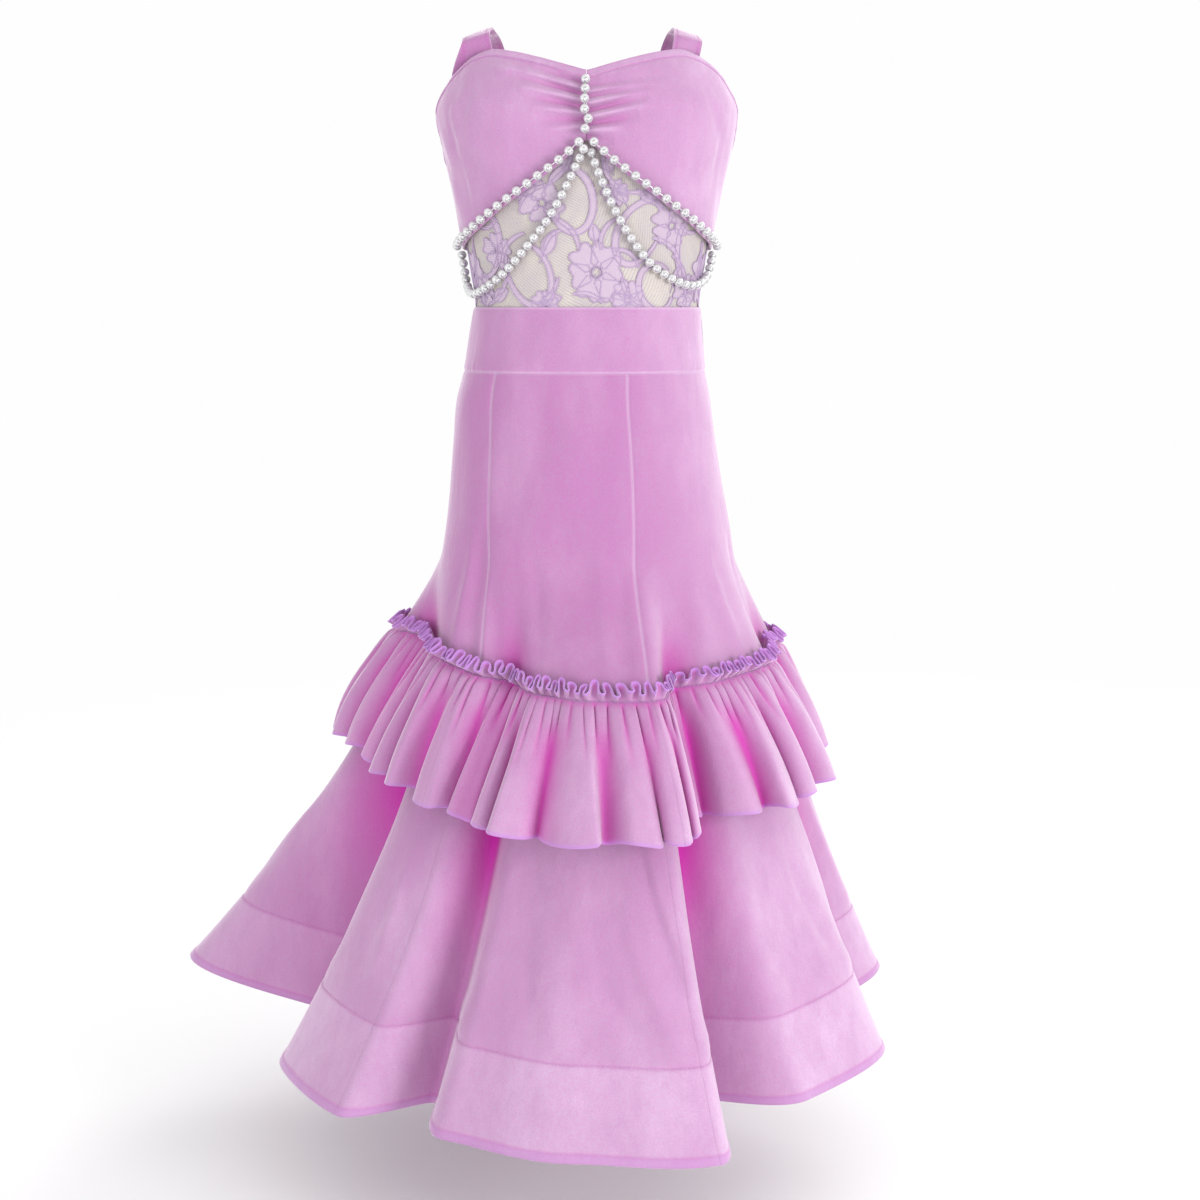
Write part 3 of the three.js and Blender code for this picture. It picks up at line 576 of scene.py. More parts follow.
def velvet_material():
    """Short soft pile: clouds where the pile leans another way, painted shade inside folds and creases and
    on the rolled lip at the hem, a paler line along seams, a paler tone with painted sheen and highlights,
    and violet thread over cut edges."""
    n = Finish("lilac_velvet", Base_Color=LILAC, Roughness=0.78, Sheen_Roughness=0.4,
               Sheen_Tint=(1.0, 0.93, 1.0))
    place = n.place()
    tall = n.add("ShaderNodeVectorMath", {0: place, 1: PILE["stretch"]}, operation="MULTIPLY").outputs[0]
    clouds = n.ramp(n.noise(tall, 14, 4, 0.6), 0.38, 0.70)
    streaks = n.ramp(n.noise(tall, 70, 5, 0.65), 0.36, 0.70)
    pile = n.noise(place, 900, 2, 0.7)
    bare = n.rest(n.ramp(pile, 0.25, 0.75))
    # Random clouds, plus the paler tone with its painted sheen and highlights.
    clouds_and_painted_sheen = n.math("ADD", n.times(clouds, PILE["clouds"]), n.attribute("pale_tone_and_painted_sheen"), clamp=True)
    colour = n.blend(clouds_and_painted_sheen, LILAC, PALE)
    colour = n.blend(n.times(streaks, PILE["streaks"]), colour, GREYED)
    colour = n.blend(n.times(bare, PILE["bare"]), colour, MAGENTA)
    for name, mark in VELVET_MARKS.items():
        colour = n.blend(n.attribute(name), colour, mark)
    # Painted shade also takes the sheen and the shine out of folds and creases.
    outside_painted_shade = n.rest(n.attribute("valley"))
    fine = n.bump(pile, 0.3, 0.0006)
    soft = n.bump(n.noise(tall, 60, 4, 0.6), 0.22, 0.004, Normal=fine)
    return n.set(Base_Color=colour, Sheen_Weight=n.times(outside_painted_shade, PILE["sheen"]),
                 Specular_IOR_Level=n.times(outside_painted_shade, PILE["shine"]), Normal=soft)


def thread_material(name, colour):
    """Twisted sewing thread with a slight sheen."""
    n = Finish(name, Base_Color=colour, Sheen_Weight=0.3)
    twist = n.noise(n.place(), 2600, 2, 0.6)
    return n.set(Normal=n.bump(twist, 0.35, 0.0003), Roughness=n.math("ADD", n.times(twist, 0.2), 0.45))


def net_material():
    """Net of fine slanting lavender threads over the nude cloth behind it."""
    n = Finish("lace_net", Roughness=0.82, Sheen_Weight=0.1)
    uv = n.place("UV")
    u, v = n.add("ShaderNodeSeparateXYZ", {0: uv}).outputs[:2]

    def strands(slope):
        """Distance from a family of slanting threads, 0 on the thread."""
        lean = n.math("ADD", n.times(u, 1 / NET_PITCH), n.times(v, slope / NET_PITCH))
        wobble = n.times(n.noise(uv, 420, 1, 0.5), 0.55)
        saw = n.math("FRACT", n.math("ADD", lean, wobble))
        return n.math("ABSOLUTE", n.math("SUBTRACT", saw, 0.5))

    near = n.math("MINIMUM", strands(NET_SLANT), strands(-NET_SLANT))
    thread = n.rest(n.ramp(near, 0.06, 0.17))
    patches = n.ramp(n.noise(uv, 38, 2, 0.5), 0.35, 0.65)
    ground = n.blend(patches, *NET_COLOURS["ground"])
    colour = n.blend(n.times(thread, 0.75), ground, NET_COLOURS["thread"])
    return n.set(Base_Color=colour, Normal=n.bump(thread, 0.5, 0.0004))


def satin_stitch_material():
    """Closely woven lace filling: fine ribs across and a soft shine."""
    n = Finish("lace_filling", Roughness=0.6, Sheen_Weight=0.2)
    inputs = {"Vector": n.place(), "Scale": 430.0, "Distortion": 1.5, "Detail": 2.0}
    rib = n.add("ShaderNodeTexWave", inputs, bands_direction="DIAGONAL").outputs["Fac"]
    return n.set(Base_Color=n.blend(n.times(rib, 0.8), *SATIN), Normal=n.bump(rib, 0.7, 0.0004))


def lining_material():
    """Nude power mesh, matt and slightly uneven."""
    n = Finish("nude_mesh", Roughness=0.85)
    holes = n.add("ShaderNodeTexVoronoi", {"Vector": n.place("UV"), "Scale": 1300.0}).outputs["Distance"]
    return n.set(Base_Color=n.blend(n.ramp(holes, 0.1, 0.6), *NUDE), Normal=n.bump(holes, 0.3, 0.0004))


def pearl_material():
    """Coated plastic pearl: glossy, faintly clouded and a little metallic, with a painted dark reflection
    of the darker side of the room."""
    n = Finish("white_pearl", Metallic=0.45, Coat_Weight=0.7, Coat_Roughness=0.06, Specular_IOR_Level=0.6)
    mottle = n.noise(n.place(), 240, 3, 0.5)
    colour = n.blend(n.attribute("dull"), n.blend(mottle, *PEARLY), PAINTED_REFLECTION_GREY)
    return n.set(Base_Color=colour, Roughness=n.math("ADD", n.times(mottle, 0.12), 0.13))


def floor_material():
    """Pale floor that fades out into the light round it."""
    n = Finish("pale_floor", Base_Color=(0.88, 0.88, 0.88), Roughness=0.9)
    away = n.add("ShaderNodeVectorMath", {0: n.place()}, operation="LENGTH").outputs["Value"]
    return n.set(Alpha=n.rest(n.ramp(away, 0.7, 2.6)))


velvet = velvet_material()
violet_thread = thread_material("violet_thread", (0.33, 0.16, 0.44))
lilac_thread = thread_material("lilac_thread", (0.46, 0.24, 0.45))
lace_cord = thread_material("lace_cord", (0.38, 0.27, 0.43))
net = net_material()
filling = satin_stitch_material()
lining = lining_material()
pearl = pearl_material()


def finish_piece(piece, finish, slot, *nodes):
    """Gives a piece its material and its place in the frame."""
    piece.data.materials.append(finish)
    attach(piece, "root")
    if nodes:
        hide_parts(*nodes)
    return piece


def cut(area=None):
    """Turns the flat size of a cloth piece, given in millimetres, into metres, and keeps nothing."""
    area = None if area is None else area * MM * MM


def cut_as_grid(piece, grid, held, *rests_on):
    """Does the same with the area of the grid that the piece was made on."""
    cut(grid_area(grid))


def sew(name, thread, slot, *lines, pitch=3.0, radius=0.2):
    """Rows of stitches as one piece. Each line is its path and the direction off the cloth there."""
    rows = [stitches(path, off, pitch, radius) for path, off in lines]
    finish_piece(make(name, *join(rows)), thread, slot)


# ---------------------------------------------------------------- bodice
CUP = {"height": 7.0, "deg": 38.0, "spread": 25.0, "z": -82.0, "tall": 34.0}
PULL = {"depth": 4.5, "reach": 24.0}
EDGE = {"width": 5.0, "proud": 0.6, "groove": 0.9, "groove_width": 1.0}
EDGE_ROWS = np.concatenate([np.linspace(0, 6.6, 12), np.linspace(7.4, 16, 8)])  # drops below the neck edge
EDGE_LINE = 10  # the row that the edge is sewn down along
NECK_PUCKER = ((9.3, LEVEL, 0.3, 0.12), (14.9, LEVEL, 1.9, 0.14), (31.0, LEVEL, 0.8, 0.2))
BODICE_WAVES = ((88, 130, 0.4, 0.5), (47, 71, 2.1, 0.28), (31, 160, 4.0, 0.2))
DRAWN_RANGE = (-4.8, 2.8)
CROWD = 1.35  # power by which the columns crowd towards the gathers
# Shares of painted shade in troughs and in the edge's groove, of paler colour all over, of painted
# highlight on ridges, and of paler colour along the edge.
BODICE_TONE = {"trough": 0.2, "groove": 0.12, "all": 0.26, "ridge": 0.36, "edge": 0.2}
# Gathers that fan out from the centre seam: from x, z to x, z with half width and height, as they lie
# before the seam is drawn in.
LOOSE_GATHERS = table(
    "x0 z0 x1 z1 width height",
    (-1, -49, -44, -33.5, 2.2, 0.9),
    (-1, -53, -56, -34, 2.6, -1.5),
    (-1, -58, -64, -39, 2.4, 1.7),
    (-1, -62.5, -52, -47, 2.8, -2.5),
    (-1, -67.5, -44, -57, 2.4, 1.9),
    (-1, -72, -42, -64.5, 2.8, -2.5),
    (-1, -77, -36, -73, 2.4, 1.4),
    (-1, -82, -34, -82, 2.8, -1.9),
    (-1, -87.5, -28, -90, 2.4, 1.0),
    (1, -47.5, 50, -36, 2.4, 0.7),
    (1, -55, 62, -47, 3.0, -1.0),
    (1, -59.5, 56, -51, 2.6, 1.1),
    (1, -64, 46, -56, 2.6, -1.5),
    (1, -69, 44, -60, 2.4, 2.0),
    (1, -75.5, 40, -65.5, 2.8, -3.0),
    (1, -80.5, 42, -71, 2.4, 2.2),
    (1, -86, 34, -79.5, 2.8, -2.9),
    (1, -91, 26, -89, 2.4, 1.5),
    (1, -95.5, 18, -98.5, 2.4, -1.8),
)
# What drawing in the seam does to them: the share that they reach further across and down, and the shares
# that they widen and rise by, the rise in two pulls.
DRAWN_IN = {"across": 1.25, "down": 1.2, "width": [1.05], "height": [1.45, 1.15]}
# Soft wrinkles below the armholes.
DRAGS = table(
    "x0 z0 x1 z1 width height",
    (-112, -72, -104, -132, 5.5, -1.6),
    (-118, -88, -110, -140, 6.5, 0.8),
    (-103, -112, -98, -150, 4.5, -0.9),
    (112, -84, 104, -138, 5.5, -1.3),
    (118, -96, 110, -146, 6.5, 0.7),
    (-92, -58, -106, -96, 5.0, -1.1),
    (-98, -50, -113, -84, 5.5, 0.6),
    (96, -56, 110, -98, 5.0, -1.1),
    (102, -60, 116, -92, 5.5, 0.6),
)
# The same kind of soft wrinkle behind, where the back panel is drawn in above the waist.
BACK_WRINKLES = table(
    "x0 z0 x1 z1 width height",
    (-88, -128, -70, -160, 5.0, -1.2),
    (-40, -124, -46, -172, 6.5, -0.9),
    (-12, -120, -8, -170, 7.0, 0.8),
    (22, -122, 30, -174, 6.5, -1.0),
    (64, -128, 58, -166, 5.5, 0.9),
    (92, -132, 80, -166, 5.0, -1.2),
)


def drawn_in(rows):
    """The gathers once the seam is drawn in, ending on whole millimetres across and tenths down."""
    across, down = rows["x1"] - rows["x0"], rows["z1"] - rows["z0"]
    return {**rows,
            "x1": np.round(rows["x0"] + DRAWN_IN["across"] * across),
            "z1": np.round(rows["z0"] + DRAWN_IN["down"] * down, 1),
            "width": grown(rows["width"], *DRAWN_IN["width"]),
            "height": grown(rows["height"], *DRAWN_IN["height"])}


GATHERS = drawn_in(LOOSE_GATHERS)


def bodice_base(deg, z):
    """Body section with two soft cups and the centre seam drawn in."""
    at, out = section(BODICE, deg, z)
    away = np.abs(deg)
    cup = CUP["height"] * bell((away - CUP["deg"]) / CUP["spread"]) * bell((z - CUP["z"]) / CUP["tall"])
    drawn = PULL["depth"] * bell(away / PULL["reach"]) * (away < 90)
    return at + out * (cup - drawn)[..., None], out


def wrinkle_routes(rows, behind):
    """Each row's route from one x, z to the other, laid on the cloth, with its width and height."""
    t = np.linspace(0, 1, 56)
    for row in rows_of(rows):
        x, z = mix(row["x0"], row["x1"], t), mix(row["z0"], row["z1"], t)
        yield bodice_base(side_degrees(BODICE, x, z, behind), z)[0], row["width"], row["height"]


def bodice_panel(part, low, high, columns, rows, wrinkles, gathers, crowd):
    """One velvet panel between two angles, with its turned top edge, its wrinkles and its gathers. Its
    columns crowd towards the centre front by a power."""
    behind = high > 180
    share = np.linspace(0, 1, columns)
    share = share**crowd if high > abs(low) else 1 - (1 - share) ** crowd
    deg = mix(low, high, share)[None] + np.zeros((rows, 1))
    turned = (deg + 180) % 360 - 180
    top = read(TOP_EDGE, "deg", "z", np.abs(turned[0]))
    bottom = read(LOWER_EDGE, "deg", "z", np.abs(turned[0]))
    fixed = top[None] - EDGE_ROWS[:, None]
    rest = np.linspace(0, 1, rows - len(EDGE_ROWS) + 1)[1:]
    z = np.concatenate([fixed, mix(fixed[-1][None], bottom[None], rest[:, None])])
    at, out = bodice_base(turned, z)
    below = top[None] - z
    pucker = ripples(lengths(at, 1), 0 * z, *NECK_PUCKER)
    edge = EDGE["proud"] * (1 - ease(EDGE["width"] - 0.8, EDGE["width"] + 0.6, below))
    past_edge = below - EDGE["width"] - 0.7
    lift = edge - EDGE["groove"] * bell(past_edge / EDGE["groove_width"])
    lift = lift + pucker * bell((below - 9) / 7) + pucker * 0.35 * (below < EDGE["width"])
    lift = lift + ripples(lengths(at, 1), z, *BODICE_WAVES)
    for route, width, height in wrinkle_routes(wrinkles, behind):
        lift = lift + crease(at, route, width, height)
    drawn = 0 * lift
    for route, width, height in wrinkle_routes(gathers, behind):
        if np.sign(route[-1, 0]) == np.sign(low + high):
            drawn = drawn + gather(at, route, width, height)
    lift = lift + np.clip(drawn, *DRAWN_RANGE)
    at = at + out * lift[..., None]
    tone = BODICE_TONE
    # Painted shade in the gathers' troughs and in the groove below the edge; painted highlight on the
    # ridges, and a paler line along the edge.
    valley = tone["trough"] * ease(0.5, 3.4, -drawn) + tone["groove"] * bell(past_edge / 0.9)
    pale_tone_and_painted_sheen = tone["all"] + tone["ridge"] * ease(0.2, 2.0, drawn) + tone["edge"] * bell((below - 2.4) / 2.2)
    piece = shell(f"bodice_{part}_cloth", at, VELVET, out, valley=valley, pale_tone_and_painted_sheen=pale_tone_and_painted_sheen)
    finish_piece(piece, velvet, "velvet_lilac", f"bodice_{part}")
    cut_as_grid(piece, at, "stretched", "strap_right", "strap_left")
    line, off = at[EDGE_LINE], out[EDGE_LINE]
    name = f"neck_stitches_{part.split('_')[-1]}"
    sew(name, lilac_thread, "velvet_lilac", (line + 0.12 * off, off), pitch=2.6)


END_DEG = SIDE_SEAM - SEAM_DEG
bodice_panel("front_right", -END_DEG, -CENTRE_DEG, 132, 104, DRAGS, GATHERS, CROWD)
bodice_panel("front_left", CENTRE_DEG, END_DEG, 132, 104, DRAGS, GATHERS, CROWD)
bodice_panel("back", SIDE_SEAM + SEAM_DEG, 360 - SIDE_SEAM - SEAM_DEG, 140, 60, BACK_WRINKLES, {}, 1.0)

# ---------------------------------------------------------------- straps
STRAP = {"width": 23.0, "wall": 1.5, "tuck": 11.0, "clear": 1.75, "lean": 24.0, "slope": 0.35}
STRAP_PATH = table(
    "y z back slant",
    (60, -72, 0.85, 0.2),
    (50, -36, 0.6, 0.7),
    (28, -11, 0.3, 1),
    (2, -4, 0.1, 1),
    (-23, -5.5, 0, 1),
    (-42, -13, 0, 0.9),
)
STRAP_X = {"right": -92.0, "left": 84.0}
STRAP_ROWS = 90
STRAP_WAVES = ((60, 34, 0.5, 0.35), (90, 19, 2.0, 0.22), (40, 61, 1.0, 0.3))
CREST = 2.4  # height of the bodice's gathers at the centre seam


def solid_bodice(deg, z):
    """The crests of the bodice's face, which the pearls are sewn on and the strap ends lie behind."""
    at, out = bodice_base(deg, z)
    crest = CREST * bell(np.abs(deg) / PULL["reach"]) * (np.abs(deg) < 90)
    return at + out * crest[..., None], out


def behind_bodice(x, drop, behind):
    """Where a strap's outer face lies behind the bodice, drop below the bodice's edge."""
    z = np.array(-60.0)
    low, high = (97.0, 179.9) if behind else (0.1, 89.0)
    for _ in range(8):
        trial = np.linspace(low, high, 600)
        side = solid_bodice(trial, np.full(600, float(z)))[0][:, 0]
        order = np.argsort(side)
        deg = np.interp(abs(x), side[order], trial[order])
        z = read(TOP_EDGE, "deg", "z", np.array(deg)) - drop
    at, out = solid_bodice(np.array(deg), np.array(z))
    at = at - out * (VELVET + SEAM_GAP + STRAP["clear"])
    return np.array([math.copysign(at[0], x), at[1], float(z)])


def strap(side_name):
    """One strap as a band of paths that rise from behind the back edge and fall behind the front edge."""
    x = STRAP_X[side_name]
    side = math.copysign(1, x)
    columns = 17
    paths = []
    for aside in np.linspace(-0.5, 0.5, columns) * STRAP["width"]:
        fall = side * aside * STRAP["slope"]
        over = np.stack([x - side * STRAP["lean"] * STRAP_PATH["back"] + aside, STRAP_PATH["y"],
                         STRAP_PATH["z"] - STRAP_PATH["slant"] * fall], -1)
        back_x = x - side * STRAP["lean"] + aside
        ends = [behind_bodice(back_x, STRAP["tuck"], True), behind_bodice(back_x, 1, True)]
        front = [behind_bodice(x + aside, 1, False), behind_bodice(x + aside, STRAP["tuck"], False)]
        paths.append(smooth_path([*ends, *over, *front], STRAP_ROWS))
    grid = np.stack(paths, 1)
    normals = grid_normals(grid)
    across = np.linspace(-1, 1, columns)[None] + np.zeros((STRAP_ROWS, 1))
    down = lengths(grid, 0)
    from_seam = np.abs(across) - 0.78
    relief = 0.5 * (1 - across**2) - 0.35 * bell(from_seam / 0.07) - 0.3
    relief = relief + ripples(9 * across, down, *STRAP_WAVES)
    ends_flat = ease(0, 0.16, np.linspace(0, 1, STRAP_ROWS))[:, None]
    grid = grid + normals * (relief * ends_flat * ends_flat[::-1])[..., None]
    # Painted shade in the grooves along the stitched seams.
    valley = 0.3 * bell(from_seam / 0.06)
    piece = shell(f"strap_{side_name}_cloth", grid, STRAP["wall"], normals, valley=valley)
    finish_piece(piece, velvet, "velvet_lilac", f"strap_{side_name}")
    cut()
    lines = [(grid[:, k] + 0.1 * normals[:, k], normals[:, k]) for k in (2, columns - 3)]
    sew(f"strap_stitches_{side_name}", lilac_thread, "velvet_lilac", *lines)


for strap_side in STRAP_X:
    strap(strap_side)

# ---------------------------------------------------------------- midriff
TUCKED = {"up": 12.0, "down": 9.0}


def midriff(name, middle, columns, rows, sink, wall, finish, slot, nodes, rests_on):
    """Half of one layer of the midriff, from behind the bodice down to behind the waistband."""
    deg = np.linspace(middle - 89.9, middle + 89.9, columns)[None] + np.zeros((rows, 1))
    turned = (deg + 180) % 360 - 180
    top = read(LOWER_EDGE, "deg", "z", np.abs(turned[0])) + TUCKED["up"]
    z = mix(top[None], WAIST_TOP - TUCKED["down"], np.linspace(0, 1, rows)[:, None])
    at, out = section(MIDRIFF, turned, z)
    at = at - out * sink
    piece = shell(name, at, wall, out)
    finish_piece(piece, finish, slot, nodes)
    cut_as_grid(piece, at, "stretched", rests_on)


for half, middle_deg in (("front", 0), ("back", 180)):
    midriff(f"lace_net_{half}", middle_deg, 110, 40, 0.3, 0.6, net, "lace_lavender", f"midriff_lace_{half}",
            f"midriff_lining_{half}")
    midriff(f"nude_lining_{half}", middle_deg, 80, 24, LACE_SINK, 0.9, lining, "mesh_nude",
            f"midriff_lining_{half}", f"waistband_{half}")

# Violet overlocking down each side seam of the midriff.
OVERLOCK = {"deg": 85, "half": 1.3, "turn": 0.55, "steps": 260, "lift": 0.2, "radius": 0.38}
for seam_name, seam_side in (("right", -1), ("left", 1)):
    seam_z = np.linspace(-187, WAIST_TOP - 2, OVERLOCK["steps"])
    zigzag = OVERLOCK["half"] * np.arcsin(np.sin(np.arange(OVERLOCK["steps"]) * OVERLOCK["turn"]))
    seam_at, seam_out = section(MIDRIFF, seam_side * (OVERLOCK["deg"] + zigzag), seam_z)
    seam_cord = tube(seam_at + OVERLOCK["lift"] * seam_out, seam_out, OVERLOCK["radius"], sides=8)
    seam_piece = make(f"midriff_seam_stitches_{seam_name}", *seam_cord)
    finish_piece(seam_piece, violet_thread, "lace_lavender")

# Running length round the midriff from the centre front, which the lace motifs are laid out on.
RULER = {"z": -195.0, "half_steps": 1000}
ruler_deg = np.linspace(-180, 180, 2 * RULER["half_steps"] + 1)
ruler_run = path_run(section(MIDRIFF, ruler_deg, RULER["z"])[0])
ruler_run -= ruler_run[RULER["half_steps"]]
ROUND = ruler_run[-1] - ruler_run[0]


def on_lace(run, z, lift):
    """A point of the lace at a running length and height, lift off its face."""
    run = (run + ROUND / 2) % ROUND - ROUND / 2
    deg = np.interp(run, ruler_run, ruler_deg)
    top = read(LOWER_EDGE, "deg", "z", np.abs(deg)) + TUCKED["up"] - 1.5
    z = np.clip(z, WAIST_TOP - TUCKED["down"] + 2, top)
    at, out = section(MIDRIFF, deg, z)
    return at + out * np.asarray(lift)[..., None], out


# Lace motifs: running length and height of the middle, size across and down, and turn in degrees.
FLOWERS = table(
    "run z size petals turn",
    (8, -204, 24, 6, 10),
    (-34, -148, 18, 5, 40),
    (70, -166, 18, 5, 0),
    (-78, -186, 15, 5, 15),
    (36, -226, 15, 6, 0),
    (-36, -232, 13, 6, 12),
    (22, -140, 11, 5, 20),
    (96, -220, 15, 5, 30),
    (-100, -218, 13, 5, 5),
    (-118, -206, 20, 5, 25),
    (120, -208, 20, 5, -12),
    (176, -200, 22, 5, 20),
    (-176, -198, 22, 5, -30),
    (228, -212, 19, 5, 8),
)
OVALS = table(
    "run z across down turn start sweep",
    (-12, -146, 17, 26, 8, 200, 300),
    (42, -172, 17, 27, -24, 60, 300),
    (-50, -205, 19, 27, 22, 130, 290),
    (62, -216, 16, 20, 30, 20, 290),
    (-92, -180, 18, 27, -10, 250, 300),
    (96, -186, 17, 28, 12, 80, 290),
    (-148, -196, 18, 29, 14, 120, 300),
    (148, -198, 18, 29, -14, 30, 300),
    (204, -204, 17, 27, 10, 200, 300),
    (-206, -206, 17, 27, -12, 40, 300),
)
LEAVES = table(
    "run z size width turn",
    (-30, -180, 24, 5.5, 62),
    (26, -140, 18, 5.0, 118),
    (-30, -226, 18, 5.0, 12),
    (30, -227, 20, 5.5, -8),
    (82, -206, 20, 5.0, 70),
    (-80, -222, 20, 5.5, 25),
    (-44, -138, 15, 4.5, 30),
    (46, -143, 13, 4.0, -40),
    (-88, -148, 17, 4.5, -20),
    (90, -152, 17, 4.5, 25),
    (-134, -226, 18, 5.0, 0),
    (134, -228, 18, 5.0, 175),
    (162, -168, 18, 5.0, 60),
    (-164, -166, 18, 5.0, 110),
    (190, -178, 18, 5.0, 150),
    (-192, -176, 18, 5.0, 30),
    (222, -182, 18, 5.0, 80),
    (186, -228, 20, 5.5, 10),
    (-186, -228, 20, 5.5, -10),
    (100, -228, 15, 4.5, 5),
    (-104, -226, 13, 4.5, 10),
    (6, -172, 15, 4.5, 100),
    (-14, -116, 13, 4.0, 70),
    (16, -118, 12, 4.0, 118),
)
# Narrow curved bands that join the motifs. bend is a share of the length.
STEMS = table(
    "run0 z0 run1 z1 bend half",
    (-10, -108, -30, -134, 0.2, 1.5),
    (12, -110, 30, -140, -0.3, 1.5),
    (-30, -134, -52, -150, -0.25, 1.6),
    (30, -140, 60, -152, 0.3, 1.6),
    (-28, -160, -6, -186, 0.35, 1.8),
    (24, -160, 12, -186, -0.35, 1.6),
    (-50, -172, -74, -196, -0.3, 1.7),
    (54, -176, 84, -200, 0.3, 1.7),
    (-24, -208, -44, -230, 0.3, 1.6),
    (30, -208, 50, -230, -0.35, 1.6),
    (-74, -160, -96, -166, 0.35, 1.5),
    (78, -164, 98, -170, -0.35, 1.5),
    (-70, -206, -96, -230, 0.25, 1.7),
    (74, -190, 96, -226, 0.3, 1.7),
    (-12, -222, 14, -229, 0.3, 1.5),
    (20, -186, 44, -200, 0.4, 1.5),
    (-34, -186, -20, -170, 0.3, 1.5),
    (-110, -180, -130, -224, 0.3, 1.7),
    (112, -184, 132, -226, -0.3, 1.7),
    (140, -172, 164, -184, 0.3, 1.6),
    (-140, -174, -160, -186, -0.3, 1.6),
    (186, -184, 210, -226, 0.25, 1.7),
    (-186, -182, -212, -228, -0.25, 1.7),
    (216, -190, 236, -190, 0.4, 1.6),
    (150, -226, 172, -218, -0.3, 1.6),
    (-152, -228, -172, -218, 0.3, 1.6),
)
CORD = {"radius": 0.46, "lift": 0.45}
FOOT = -0.45  # the filling's base, behind the face of the net
# Rings of a filled motif from its middle to its outline, and rows of a band from one side to the other.
PATCH = table("share lift", (0, 0.375), (0.35, 0.36), (0.65, 0.33), (0.88, 0.285), (0.97, 0.18), (1, -0.18))
BAND = table("share lift", (0, -0.18), (0.03, 0.21), (0.25, 0.33), (0.5, 0.375), (0.75, 0.33), (0.97, 0.21),
             (1, -0.18))
PETAL = {"foot": 0.20, "start": 0.22, "wide": 0.50, "waist": 0.45, "middle": 0.55, "eye": 0.15}


def turned(x, y, degrees):
    c, s = math.cos(degrees * RAD), math.sin(degrees * RAD)
    return x * c - y * s, x * s + y * c


def petal_edge(theta):
    """Reach of a petal with two round lobes, from its foot, for theta from -1 to 1 across it."""
    return (1 - 0.16 * bell(theta / 0.22)) * (1 - np.abs(theta) ** 3.2) ** 0.45


def patch(edge_run, edge_z, middle_run, middle_z):
    """Filled motif inside an outline, slightly domed and dropping to the net at its edge."""
    run = mix(middle_run, edge_run, PATCH["share"][:, None])
    z = mix(middle_z, edge_z, PATCH["share"][:, None])
    at, _ = on_lace(run, z, PATCH["lift"][:, None] + 0 * run)
    flat, _ = on_lace(edge_run, edge_z, FOOT + 0 * edge_run)
    return rings_mesh(np.concatenate([at[1:], flat[None]])[None])


def cord_on(run, z):
    """Raised cord that follows a line on the lace."""
    at, out = on_lace(run, z, CORD["lift"] + 0 * run)
    return tube(at, out, CORD["radius"])


def shown(run, z):
    """True where a point of the lace is not behind the bodice or the waistband."""
    wrapped = (run + ROUND / 2) % ROUND - ROUND / 2
    deg = np.interp(wrapped, ruler_run, ruler_deg)
    return (z < read(LOWER_EDGE, "deg", "z", np.abs(deg)) + 1.0) & (z > WAIST_TOP + 0.7)


def cords_in_view(run, z):
    """The stretches of a line that show, each as a cord."""
    seen = np.concatenate([[False], shown(run, z), [False]])
    starts = np.flatnonzero(~seen[:-1] & seen[1:])
    ends = np.flatnonzero(seen[:-1] & ~seen[1:])
    return [cord_on(run[a:b], z[a:b]) for a, b in zip(starts, ends) if b - a > 3]


def flower(fills, cords, run, z, size, petals, turn):
    """Petals with two lobes round a small ring."""
    arc = np.linspace(-1, 1, 35)
    tip = petal_edge(arc)
    foot = PETAL["wide"] * 0.42 * np.linspace(1, -1, 10)[1:-1]
    y = np.concatenate([PETAL["wide"] * np.sin(arc * np.pi / 2) * (1 - PETAL["waist"] * (1 - tip)), foot])
    for k in range(int(petals)):
        angle = turn + 360 * k / petals
        reach = 0.92 + 0.08 * ((k * 7) % 3)
        x = np.concatenate([mix(PETAL["start"], reach, tip), 0 * foot + PETAL["foot"]])
        px, py = turned(size * x, size * y, angle)
        middle_x, middle_y = turned(PETAL["middle"] * size, 0.0, angle)
        fills.append(patch(run + px, z + py, run + middle_x, z + middle_y))
        cords.extend(cords_in_view(run + np.append(px, px[0]), z + np.append(py, py[0])))
    ring = np.linspace(0, 2 * np.pi, 25)
    eye = PETAL["eye"] * size
    cords.extend(cords_in_view(run + eye * np.cos(ring), z + eye * np.sin(ring)))


def oval_band(fills, cords, run, z, across, down, turn, start, sweep):
    """An open oval band of filling between two cords, like a loop of ribbon."""
    angle = (start + np.linspace(0, sweep, 64)) * RAD
    x, y = turned(across * np.cos(angle), down * np.sin(angle), turn)
    band(fills, cords, np.stack([run + x, z + y], -1), 2.6)


def stem(fills, cords, run0, z0, run1, z1, bend, half):
    """A narrow curved band from one motif to the next."""
    t = np.linspace(0, 1, 40)[:, None]
    a, b = np.array([run0, z0]), np.array([run1, z1])
    middle = (a + b) / 2 + bend * np.array([a[1] - b[1], b[0] - a[0]])
    band(fills, cords, (1 - t) ** 2 * a + 2 * t * (1 - t) * middle + t * t * b, half)


def band(fills, cords, route, half):
    """Filling between two cords along a route of running length and height."""
    way = unit(np.gradient(route, axis=0))
    square = np.stack([way[:, 1], -way[:, 0]], -1)
    taper = half * np.sin(np.pi * np.linspace(0.05, 0.95, len(route)))[:, None] ** 0.4
    edges = [(route + side * taper * square).T for side in (1, -1)]
    for edge in edges:
        cords.extend(cords_in_view(*edge))
    r, z = (mix(edges[0][a][:, None], edges[1][a][:, None], BAND["share"]) for a in range(2))
    top, _ = on_lace(r, z, BAND["lift"] + 0 * r)
    base, _ = on_lace(r[:, ::-1], z[:, ::-1], FOOT + 0 * r)
    fills.append(rings_mesh(np.concatenate([top, base[:, 1:-1]], axis=1)[:, ::-1][None]))


